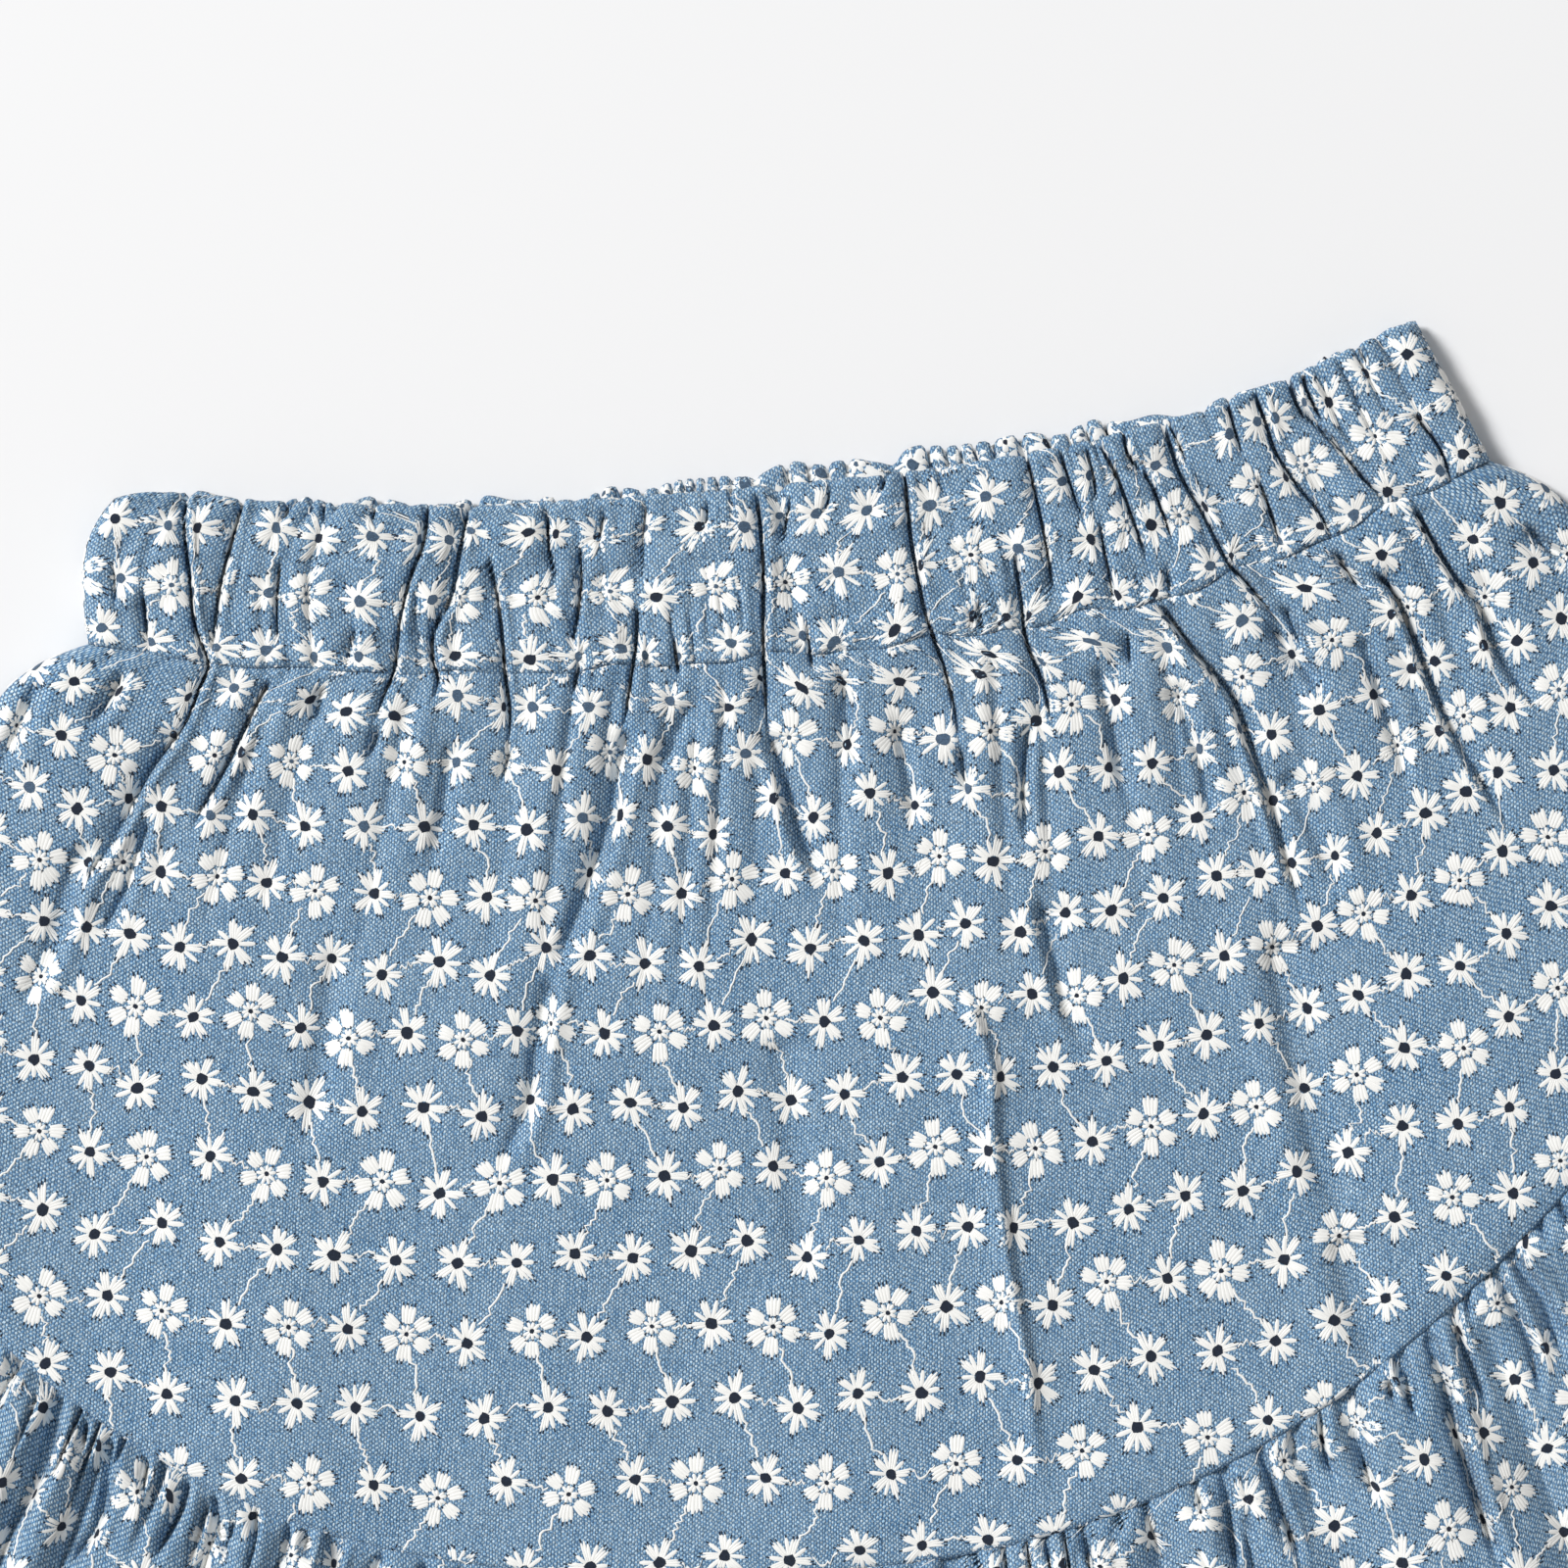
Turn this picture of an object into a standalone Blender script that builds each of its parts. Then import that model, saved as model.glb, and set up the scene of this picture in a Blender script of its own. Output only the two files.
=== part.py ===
"""A tiered skirt that lies flat on a table: a gathered elastic waistband, an upper tier and a ruffle.

Metres, +Z up, the table at Z = 0. +X is the right side as seen from above and +Y points to the
waist. The front panels lie on the back panels. Each panel is one sheet of cloth with a real wall,
and neighbours stay a seam's gap apart.

A place across a panel is called `across`: -1 at the left side, 0 in the middle, 1 at the right side.
A place down a panel is called `down`: 0 at its upper seam, 1 at its lower edge. On the waistband
`up` is 0 at its seam and 1 at its top edge.
"""

import math
from collections import namedtuple

import bmesh
import bpy
import numpy as np

MM = 0.001

# Walls and gaps
CLOTH_WALL = 1.2 * MM
BAND_WALL = 2.0 * MM
SEAM_GAP = 0.3 * MM
SIDE_EDGE_HEIGHT = 2 * CLOTH_WALL + SEAM_GAP
LEAST_FRONT_HEIGHT = SIDE_EDGE_HEIGHT + 2 * SEAM_GAP

# Waistband: it lies tilted on the table, and its seam sags like a smile
WAIST_CENTRE = (1.0 * MM, 144.6 * MM)
WAIST_TILT = math.radians(7.6)
WAIST_HALF = 150.4 * MM
WAIST_SAG = 22.5 * MM
WAIST_SAG_POWER = 2.6
WAIST_SKEW = 2.0 * MM
BAND_HEIGHT = 36.3 * MM
BAND_LEVEL = 6.3 * MM
BAND_PUFF = 3.4 * MM
BAND_SCALLOP = 1.3 * MM
BAND_BACK_COLUMNS = 44

# Ends of the waistband: they lean in towards the top, and round over from front to back
EndInset = namedtuple("EndInset", "inset power")
BAND_ENDS = {"left": EndInset(13.5 * MM, 3.2), "right": EndInset(14.0 * MM, 1.2)}
BAND_END_ACROSS = 0.995
BAND_END_RADIUS = 3.1 * MM
BAND_END_LIFT = 0.8 * MM

# The back of the waistband shows a little above the front
BAND_BACK_RISE = 4.2 * MM
BAND_BACK_RISE_ACROSS = 0.18
BAND_BACK_RISE_SPREAD = 0.42

# Upper tier: its lower seam is a deep curve, lowest left of the middle
SEAM_LOWEST = (-22.9 * MM, -73.8 * MM)
SEAM_MIDDLE = -1.0 * MM
SEAM_HALF = 207.0 * MM
SEAM_RISE = {"left": 129.6 * MM, "right": 104.4 * MM}
SEAM_RISE_REACH = 208.3 * MM
SEAM_RISE_POWER = 2.6
TIER_COLUMNS = 90
TIER_ROWS = 12
TIER_BACK_COLUMNS = 53
TIER_BACK_RIDGES = 13
TIER_BACK_RIDGE = 1.5 * MM

# Sides: the cloth swings out just below the waist, and rounds over from front to back
SIDE_BULGE = 12.5 * MM
SIDE_BULGE_DOWN = 0.13
SIDE_BULGE_POWER = 5
SIDE_ROUND = 5.0 * MM

# Ruffle: a straight strip, gathered on to the lower seam
RUFFLE_DEPTH = 120.0 * MM
RUFFLE_FAN = math.radians(30)
RUFFLE_GATHERS = 46
RUFFLE_FINE_WAVE = 3.4 * MM
RUFFLE_BROAD_WAVE = 5.2 * MM
RUFFLE_BACK_RIDGES = 24
RUFFLE_BACK_RIDGE = 1.3 * MM
RUFFLE_ROWS = (1.0, 0.72, 0.45, 0.22, 0.07, 0.0)

# Heights of the outer face over the table, down the front panels
Level = namedtuple("Level", "down height")
TIER_LEVELS = (
    Level(0.00, 6.0 * MM),
    Level(0.06, 7.2 * MM),
    Level(0.25, 5.6 * MM),
    Level(0.55, 3.9 * MM),
    Level(0.90, 3.8 * MM),
    Level(1.00, 4.2 * MM),
)
RUFFLE_LEVELS = (
    Level(0.00, 4.6 * MM),
    Level(0.08, 6.4 * MM),
    Level(0.45, 7.0 * MM),
    Level(1.00, 6.6 * MM),
)

# Creases of the elastic waistband, from left to right. They run on into the top of the upper tier.
Crease = namedtuple("Crease", "across depth half_width")
BAND_CREASES = (
    Crease(-0.915, 2.2 * MM, 1.6 * MM),
    Crease(-0.852, 2.8 * MM, 1.8 * MM),
    Crease(-0.789, 2.4 * MM, 1.5 * MM),
    Crease(-0.719, 3.2 * MM, 1.9 * MM),
    Crease(-0.642, 2.0 * MM, 1.6 * MM),
    Crease(-0.580, 2.7 * MM, 1.6 * MM),
    Crease(-0.510, 3.1 * MM, 1.9 * MM),
    Crease(-0.452, 3.4 * MM, 1.6 * MM),
    Crease(-0.392, 2.4 * MM, 1.6 * MM),
    Crease(-0.300, 3.3 * MM, 1.9 * MM),
    Crease(-0.230, 2.7 * MM, 1.8 * MM),
    Crease(-0.147, 2.2 * MM, 1.9 * MM),
    Crease(-0.035, 3.2 * MM, 2.0 * MM),
    Crease(0.035, 2.3 * MM, 1.7 * MM),
    Crease(0.115, 2.9 * MM, 1.8 * MM),
    Crease(0.180, 3.3 * MM, 1.7 * MM),
    Crease(0.258, 2.7 * MM, 1.8 * MM),
    Crease(0.325, 3.0 * MM, 1.6 * MM),
    Crease(0.375, 2.6 * MM, 1.4 * MM),
    Crease(0.425, 3.3 * MM, 1.5 * MM),
    Crease(0.482, 2.7 * MM, 1.5 * MM),
    Crease(0.535, 3.1 * MM, 1.5 * MM),
    Crease(0.585, 2.4 * MM, 1.5 * MM),
    Crease(0.640, 3.2 * MM, 1.7 * MM),
    Crease(0.700, 2.7 * MM, 1.7 * MM),
    Crease(0.761, 3.1 * MM, 1.7 * MM),
    Crease(0.822, 2.2 * MM, 1.7 * MM),
    Crease(0.901, 2.8 * MM, 1.9 * MM),
)

# Main folds of the upper tier's front, each a straight trough from its upper to its lower end.
# A negative depth is a ridge.
Fold = namedtuple("Fold", "upper_x upper_y lower_x lower_y depth half_width")
FRONT_FOLDS = (
    Fold(-144.0 * MM, 116.0 * MM, -182.0 * MM, 60.0 * MM, 2.2 * MM, 4.2 * MM),
    Fold(-122.0 * MM, 128.0 * MM, -162.0 * MM, 44.0 * MM, 2.9 * MM, 4.2 * MM),
    Fold(-108.0 * MM, 121.0 * MM, -135.0 * MM, 71.0 * MM, 2.8 * MM, 3.4 * MM),
    Fold(-113.0 * MM, 108.0 * MM, -138.0 * MM, 52.0 * MM, -2.6 * MM, 6.0 * MM),
    Fold(-86.0 * MM, 121.0 * MM, -92.0 * MM, 96.0 * MM, 2.2 * MM, 2.9 * MM),
    Fold(-59.0 * MM, 117.0 * MM, -61.0 * MM, 88.0 * MM, 2.4 * MM, 2.9 * MM),
    Fold(-33.0 * MM, 117.0 * MM, -61.0 * MM, 14.0 * MM, 1.9 * MM, 5.0 * MM),
    Fold(-2.0 * MM, 118.0 * MM, 8.0 * MM, 72.0 * MM, 2.4 * MM, 3.8 * MM),
    Fold(1.0 * MM, 60.0 * MM, 5.0 * MM, -24.0 * MM, 0.9 * MM, 9.0 * MM),
    Fold(32.0 * MM, 126.0 * MM, 39.0 * MM, 88.0 * MM, 2.1 * MM, 3.0 * MM),
    Fold(50.0 * MM, 129.0 * MM, 65.0 * MM, 40.0 * MM, 2.1 * MM, 4.2 * MM),
    Fold(44.0 * MM, 62.0 * MM, 51.0 * MM, -52.0 * MM, -1.7 * MM, 8.0 * MM),
    Fold(86.0 * MM, 132.0 * MM, 113.0 * MM, 62.0 * MM, 3.0 * MM, 4.0 * MM),
    Fold(104.0 * MM, 72.0 * MM, 127.0 * MM, -28.0 * MM, 1.6 * MM, 11.0 * MM),
    Fold(119.0 * MM, 96.0 * MM, 141.0 * MM, 10.0 * MM, -2.0 * MM, 9.0 * MM),
    Fold(109.0 * MM, 147.0 * MM, 155.0 * MM, 83.0 * MM, 2.2 * MM, 3.2 * MM),
    Fold(134.0 * MM, 154.0 * MM, 163.0 * MM, 100.0 * MM, 2.7 * MM, 3.8 * MM),
    Fold(153.0 * MM, 154.0 * MM, 182.0 * MM, 98.0 * MM, 2.2 * MM, 4.0 * MM),
)

BLUE_CLOTH = (0.105, 0.235, 0.430, 1.0)
CLOTH_ROUGHNESS = 0.85


def clear_scene():
    for obj in list(bpy.data.objects):
        bpy.data.objects.remove(obj, do_unlink=True)


def side_of(value):
    return "left" if value < 0 else "right"


def ease(value):
    """A smooth step from 0 to 1."""
    value = min(max(value, 0.0), 1.0)
    return value * value * (3 - 2 * value)


def level_at(levels, down):
    return float(np.interp(down, [row.down for row in levels], [row.height for row in levels]))


def round_over_side(across, half_width, height):
    """Brings the front down to its edge at each side, in a quarter of an oval."""
    inset = min((1 - abs(across)) * half_width / SIDE_ROUND, 1.0)
    return height - (height - SIDE_EDGE_HEIGHT) * (1 - math.sqrt(1 - (1 - inset) ** 2))


# Places in the plane of the table


def waist_place(across, up, is_back=False):
    end = BAND_ENDS[side_of(across)]
    along = across * (WAIST_HALF - end.inset * up**end.power)
    share = along / WAIST_HALF
    sag = WAIST_SAG * (1 - abs(share) ** WAIST_SAG_POWER) + WAIST_SKEW * math.sin(math.pi * share)
    away = BAND_HEIGHT * up - sag
    if is_back:
        spread = (across - BAND_BACK_RISE_ACROSS) / BAND_BACK_RISE_SPREAD
        away += BAND_BACK_RISE * math.exp(-(spread**4)) * up
    return (
        WAIST_CENTRE[0] + along * math.cos(WAIST_TILT) - away * math.sin(WAIST_TILT),
        WAIST_CENTRE[1] + along * math.sin(WAIST_TILT) + away * math.cos(WAIST_TILT),
    )


def lower_seam_place(across):
    x = SEAM_MIDDLE + across * SEAM_HALF
    reach = (x - SEAM_LOWEST[0]) / SEAM_RISE_REACH
    return x, SEAM_LOWEST[1] + SEAM_RISE[side_of(reach)] * abs(reach) ** SEAM_RISE_POWER


def tier_place(across, down):
    x0, y0 = waist_place(across, 0.0)
    x1, y1 = lower_seam_place(across)
    near = down / SIDE_BULGE_DOWN
    bulge = SIDE_BULGE * across * abs(across) ** SIDE_BULGE_POWER * near * math.exp(1 - near)
    gap = SEAM_GAP * (down - 0.5)
    return x0 + (x1 - x0) * down + bulge, y0 + (y1 - y0) * down + gap


def ruffle_place(across, down):
    x, y = lower_seam_place(across)
    angle = RUFFLE_FAN * across
    reach = RUFFLE_DEPTH * down
    return x + math.sin(angle) * reach, y - math.cos(angle) * reach - SEAM_GAP


# Heights over the table


def band_puff(across):
    """The waistband's gathers: sharp creases with round puffs between them."""
    height = BAND_PUFF
    for crease in BAND_CREASES:
        away = abs(across - crease.across) * WAIST_HALF / crease.half_width
        height -= crease.depth * math.exp(-(away**1.4))
    return max(height, 0.0)


def fold_depth(x, y):
    """What the main folds take from the height at one place."""
    total = 0.0
    for fold in FRONT_FOLDS:
        run_x = fold.lower_x - fold.upper_x
        run_y = fold.lower_y - fold.upper_y
        length = math.hypot(run_x, run_y)
        along = ((x - fold.upper_x) * run_x + (y - fold.upper_y) * run_y) / length**2
        aside = ((x - fold.upper_x) * run_y - (y - fold.upper_y) * run_x) / length
        fade = ease((along + 0.15) / 0.3) * ease((1.15 - along) / 0.5)
        total += fold.depth * fade * math.exp(-((aside / fold.half_width) ** 2))
    return total


def tier_height(across, down):
    gathers = band_puff(across) * (0.35 + 0.65 * ease(down / 0.05)) * (1 - ease(down / 0.28))
    folds = fold_depth(*tier_place(across, down)) * ease(down / 0.04)
    height = max(level_at(TIER_LEVELS, down) + gathers - folds, LEAST_FRONT_HEIGHT)
    half_width = WAIST_HALF + (SEAM_HALF - WAIST_HALF) * down
    return round_over_side(across, half_width, height)


def gather_wave(across, gathers, uneven):
    """A row of rounded gathers from 0 to 1, uneven in width."""
    turn = gathers * (across + 1) / 2
    turn += uneven * (math.sin(4.1 * across + 0.6) + 0.45 * math.sin(11.7 * across + 2.0))
    return abs(math.sin(math.pi * turn)) ** 0.8


def ruffle_height(across, down):
    """Fine gathers at the seam, which run together in pairs towards the hem."""
    fine = RUFFLE_FINE_WAVE * (gather_wave(across, RUFFLE_GATHERS, 1.1) - 0.4)
    broad = RUFFLE_BROAD_WAVE * (gather_wave(across, RUFFLE_GATHERS / 2, 0.9) - 0.4)
    share = ease((down - 0.05) / 0.6)
    wave = fine + (broad - fine) * share
    height = level_at(RUFFLE_LEVELS, down) + wave * (0.15 + 0.85 * ease(down / 0.07))
    half_width = SEAM_HALF + RUFFLE_DEPTH * math.sin(RUFFLE_FAN) * down
    return round_over_side(across, half_width, height)


def back_ridge(across, ridges, height):
    """Ridges of a panel that lies face down: flat on the table between them."""
    wave = math.sin(math.tau * ridges * (across + 1) / 2 + 0.8 * math.sin(5.3 * across))
    return height * max(wave - 0.35, 0.0) / 0.65 * ease((0.95 - abs(across)) / 0.06)


def tier_back_height(across, down):
    ridge = back_ridge(across, TIER_BACK_RIDGES, TIER_BACK_RIDGE)
    return ridge * ease(down / 0.08) * (1 - ease(down / 0.3))


def ruffle_back_height(across, down):
    return back_ridge(across, RUFFLE_BACK_RIDGES, RUFFLE_BACK_RIDGE) * ease(down / 0.2)


# Sheets


def make_material(name, colour, roughness):
    material = bpy.data.materials.new(name)
    material.use_nodes = True
    shader = material.node_tree.nodes["Principled BSDF"]
    shader.inputs["Base Color"].default_value = colour
    shader.inputs["Roughness"].default_value = roughness
    shader.inputs["Metallic"].default_value = 0.0
    material.diffuse_color = colour
    return material


def make_sheet(name, columns, rows, form, wall, wall_side, collection):
    """A sheet of cloth: a grid laid over `form(column, row)`, with its wall on one side of it."""
    last_column = len(columns) - 1
    last_row = len(rows) - 1
    grid = bmesh.new()
    bmesh.ops.create_grid(grid, x_segments=last_column, y_segments=last_row, size=0.5)
    for vertex in grid.verts:
        column = columns[round((vertex.co.x + 0.5) * last_column)]
        row = rows[round((vertex.co.y + 0.5) * last_row)]
        vertex.co = form(column, row)
    if columns[0] == columns[-1]:
        bmesh.ops.remove_doubles(grid, verts=grid.verts, dist=0.01 * MM)
    mesh = bpy.data.meshes.new(name)
    grid.to_mesh(mesh)
    grid.free()
    mesh.shade_smooth()
    mesh.materials.append(make_material(name, BLUE_CLOTH, CLOTH_ROUGHNESS))
    sheet = bpy.data.objects.new(name, mesh)
    solidify = sheet.modifiers.new("cloth", "SOLIDIFY")
    solidify.thickness = wall
    solidify.offset = wall_side
    collection.objects.link(sheet)


def front_and_back(name, columns, rows, place, heights, collection):
    """The two panels of a tier: the front has its wall inside it, and so has the back."""
    for side, wall_side in (("front", -1), ("back", 1)):
        make_sheet(
            f"{name}_{side}",
            columns[side],
            rows[side],
            lambda across, down, height=heights[side]: (*place(across, down), height(across, down)),
            CLOTH_WALL,
            wall_side,
            collection,
        )


def rounded_columns(count):
    """Places across a panel, closer together where it rounds over its sides."""
    ends = np.array([0.980, 0.991, 1.0])
    inner = np.linspace(-0.965, 0.965, count - 2 * len(ends) + 1)
    return np.concatenate([-ends[::-1], inner, ends])


def make_waistband(collection):
    """One loop: over the front from left to right, round the end, and back under it."""
    stops = [-BAND_END_ACROSS] + [crease.across for crease in BAND_CREASES] + [BAND_END_ACROSS]
    front = [stops[0]]
    for before, after in zip(stops, stops[1:]):
        front += list(np.linspace(before, after, 5)[1:])
    turns = np.linspace(0, math.pi, 5)[1:-1]
    loop = [("front", place) for place in front]
    loop += [("right", turn) for turn in turns]
    loop += [("back", place) for place in np.linspace(stops[-1], stops[0], BAND_BACK_COLUMNS)]
    loop += [("left", turn) for turn in turns[::-1]]
    loop.append(loop[0])

    def end_form(region, turn, up):
        across = 1 if region == "right" else -1
        x, y = waist_place(across * BAND_END_ACROSS, up)
        x += across * BAND_END_RADIUS * math.sin(turn)
        return x, y + SEAM_GAP / 2 + BAND_END_LIFT, BAND_LEVEL * (1 + math.cos(turn)) / 2

    def form(column, up):
        region, value = column
        if region in ("right", "left"):
            return end_form(region, value, up)
        x, y = waist_place(value, up, region == "back")
        y += SEAM_GAP / 2 + BAND_END_LIFT * ease((abs(value) - 0.95) / 0.04)
        if region == "back":
            return x, y, 0.0
        puff = band_puff(value)
        y += BAND_SCALLOP * (puff / BAND_PUFF - 0.7) * ease((up - 0.6) / 0.4)
        swell = ease(up / 0.14) * (0.45 + 0.55 * ease((1.02 - up) / 0.12))
        ends = ease((1 - abs(value)) / 0.03)
        return x, y, BAND_LEVEL + puff * (0.35 + 0.65 * swell) * ends

    make_sheet("waistband", loop, (0.0, 0.14, 0.55, 0.9, 1.0), form, BAND_WALL, -1, collection)


def make_upper_tier(collection):
    rows = list(np.linspace(1, 0, TIER_ROWS) ** 1.25)
    columns = {
        "front": rounded_columns(TIER_COLUMNS),
        "back": np.linspace(-1, 1, TIER_BACK_COLUMNS),
    }
    heights = {"front": tier_height, "back": tier_back_height}
    rows = {"front": rows, "back": rows[::2] + rows[-1:]}
    front_and_back("upper", columns, rows, tier_place, heights, collection)


def make_ruffle(collection):
    columns = {
        "front": rounded_columns(4 * RUFFLE_GATHERS),
        "back": np.linspace(-1, 1, 4 * RUFFLE_BACK_RIDGES + 1),
    }
    heights = {"front": ruffle_height, "back": ruffle_back_height}
    rows = {"front": RUFFLE_ROWS, "back": RUFFLE_ROWS[::2] + RUFFLE_ROWS[-1:]}
    front_and_back("ruffle", columns, rows, ruffle_place, heights, collection)


def centre_on_origin(objects):
    """Brings the middle of the skirt's box over the origin, in the plane of the table."""
    points = np.array([vertex.co[:] for obj in objects for vertex in obj.data.vertices])
    middle_x, middle_y, _ = (points.min(axis=0) + points.max(axis=0)) / 2
    for obj in objects:
        for vertex in obj.data.vertices:
            vertex.co.x -= middle_x
            vertex.co.y -= middle_y


def main():
    clear_scene()
    skirt = bpy.data.collections.new("tiered_skirt")
    bpy.context.scene.collection.children.link(skirt)
    make_waistband(skirt)
    make_upper_tier(skirt)
    make_ruffle(skirt)
    centre_on_origin(list(skirt.objects))


main()
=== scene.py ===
"""Looks of the tiered skirt: cloth shells with their folds, the woven blue cloth, and the daisy embroidery.

Metres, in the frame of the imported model. Each panel is laid out in the cloth's own measure: `s` runs along
a row of daisies and `t` runs away from the panel's upper seam, both as on the flat cloth. The form of a
panel takes `across` (-1 at the left side, 1 at the right side) and `down` (0 at its upper seam, 1 at its
lower edge). On the waistband `up` is 0 at its seam and 1 at its top edge.
"""

import math
from collections import namedtuple

import bpy
import numpy as np
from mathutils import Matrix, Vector


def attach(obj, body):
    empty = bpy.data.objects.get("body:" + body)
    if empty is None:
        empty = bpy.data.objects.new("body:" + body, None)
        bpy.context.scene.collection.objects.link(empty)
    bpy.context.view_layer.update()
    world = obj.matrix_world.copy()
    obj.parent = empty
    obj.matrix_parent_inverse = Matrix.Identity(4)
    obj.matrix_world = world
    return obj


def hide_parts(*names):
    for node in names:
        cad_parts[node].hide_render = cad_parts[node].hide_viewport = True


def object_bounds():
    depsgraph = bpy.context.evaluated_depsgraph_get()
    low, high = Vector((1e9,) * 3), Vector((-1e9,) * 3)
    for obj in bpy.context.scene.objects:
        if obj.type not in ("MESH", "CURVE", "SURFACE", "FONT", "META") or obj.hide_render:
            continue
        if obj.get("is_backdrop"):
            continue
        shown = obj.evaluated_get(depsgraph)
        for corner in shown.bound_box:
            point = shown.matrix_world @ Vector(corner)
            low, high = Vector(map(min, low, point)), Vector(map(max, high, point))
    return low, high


MM = 0.001

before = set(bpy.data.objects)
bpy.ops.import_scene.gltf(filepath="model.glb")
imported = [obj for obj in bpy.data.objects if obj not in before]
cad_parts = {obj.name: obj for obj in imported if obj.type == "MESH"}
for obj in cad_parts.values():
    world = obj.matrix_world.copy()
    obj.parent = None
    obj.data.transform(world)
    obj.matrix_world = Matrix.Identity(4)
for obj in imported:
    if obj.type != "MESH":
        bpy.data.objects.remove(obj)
cad_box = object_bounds()

# The whole skirt lies this far from the plan that its sizes are drawn on
PLAN_SHIFT = (1.0 * MM, -0.02 * MM)

# Walls and gaps
CLOTH_WALL = 1.2 * MM
SEAM_GAP = 0.3 * MM
SIDE_EDGE_HEIGHT = 2 * CLOTH_WALL + SEAM_GAP
LEAST_FRONT_HEIGHT = 2.3 * MM
LEAST_RUFFLE_HEIGHT = 2.0 * MM
BACK_HEIGHT = 0.75 * MM

# Waistband
WAIST_CENTRE = (1.0 * MM, 144.6 * MM)
WAIST_TILT = math.radians(7.6)
WAIST_HALF = 150.4 * MM
WAIST_SAG = 22.5 * MM
WAIST_SAG_POWER = 2.6
WAIST_SKEW = 2.0 * MM
BAND_HEIGHT = 36.3 * MM
BAND_LEVEL = 6.3 * MM
BAND_PUFF = 3.3 * MM
BAND_LEAST = 3.8 * MM
BAND_WALL = 1.5 * MM
BAND_INNER_LEAST = 3.3 * MM
BAND_CLOTH_WIDTH = 492.0 * MM
BAND_CLOTH_HEIGHT = 45.0 * MM
BAND_GATHERS = 42
BAND_GATHER_HEIGHT = 0.5 * MM
BAND_CRACKS = 31
BAND_CRACK_DEPTH = 1.2 * MM
BAND_BACK_LEVEL = 0.5 * MM
BAND_BACK_TOP = 3.0 * MM
BAND_BACK_GATHERS = 54
BAND_BACK_OUTER_FOLD = 2.1 * MM
BAND_BACK_INNER_FOLD = 2.2 * MM
BAND_BACK_RISE = 4.2 * MM
BAND_BACK_RISE_ACROSS = 0.18
BAND_BACK_RISE_SPREAD = 0.42
# The two ends lean in towards the top edge, and their corners are rounded
END_INSET = {"left": 13.5 * MM, "right": 12.2 * MM}
END_POWER = {"left": 3.2, "right": 1.0}
CORNER_FALL = {"left": 0.10, "right": 0.035}
CORNER_WIDTH = {"left": 0.08, "right": 0.05}
# The waist seam is a soft groove between two rolls of cloth
WAIST_SEAM_LEVEL = 8.4 * MM
WAIST_SEAM_ROLL = 1.3 * MM
WAIST_SEAM_WAVE = 0.7 * MM
# Where a crease crosses the waist seam, the groove sinks by this share of its depth
SEAM_FOLLOWS = 0.85

# Upper tier
SEAM_LOWEST = (-22.9 * MM, -73.8 * MM)
SEAM_MIDDLE = -1.0 * MM
SEAM_HALF = 207.0 * MM
SEAM_RISE = {"left": 129.6 * MM, "right": 104.4 * MM}
SEAM_RISE_REACH = 208.3 * MM
SEAM_RISE_POWER = 2.6
SIDE_BULGE = 12.5 * MM
SIDE_BULGE_DOWN = 0.13
SIDE_BULGE_POWER = 5
SIDE_ROUND = 5.0 * MM
TIER_CLOTH_WIDTH = 478.0 * MM
TIER_GATHERS = 43
TIER_GATHER_HEIGHT = 0.6 * MM
TIER_FOLDS = 21
TIER_FOLD_HEIGHT = 2.0 * MM
TIER_WAIST_PUFF = 2.1 * MM

# Ruffle
RUFFLE_DEPTH = 120.0 * MM
RUFFLE_FAN = math.radians(30)
RUFFLE_GATHERS = 23
RUFFLE_CRACKS = 62
RUFFLE_CRACK_DEPTH = 5.0 * MM
RUFFLE_PUCKER = 0.35 * MM
RUFFLE_CLOTH_WIDTH = 720.0 * MM

# How far down the front panels, and how many millimetres high over the table the outer face is there
TIER_LEVELS = ((0.00, 6.6), (0.25, 5.8), (0.55, 4.6), (0.90, 4.4), (0.975, 4.7), (0.996, 4.5), (1.00, 3.3))
RUFFLE_LEVELS = (
    (-0.02, 2.4), (0.00, 3.8), (0.015, 5.5), (0.035, 6.6), (0.08, 7.2), (0.45, 7.2), (1.00, 6.4),
)

# Creases of the cloth, in millimetres on the plan: a smooth line through some points, from its upper end.
# A lip is the cloth that stands up beside the crease, right of it where positive.
Crease = namedtuple("Crease", "depth half_width lip points")

# A crease drops steeply over `crack` half widths, and `broad` of its depth is a wide soft hollow.
# `lip` raises the cloth beside it.
Shape = namedtuple("Shape", "crack broad lip")
SHARP = Shape(0.46, 0.20, 1.0)
SOFT = Shape(0.72, 0.36, 1.2)
PLEAT = Shape(0.48, 0.34, 1.2)
RUFFLED = Shape(0.62, 0.36, 1.3)

# The creases are this many times as deep as the tables below say
CREASES_DEEPER = 1.9
RUFFLE_DEEPER = 2.1


def creases(*rows):
    """Creases from rows of a depth, a half width, a lip and then the points."""
    return tuple(Crease(*row[:3], row[3:]) for row in rows)


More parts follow.
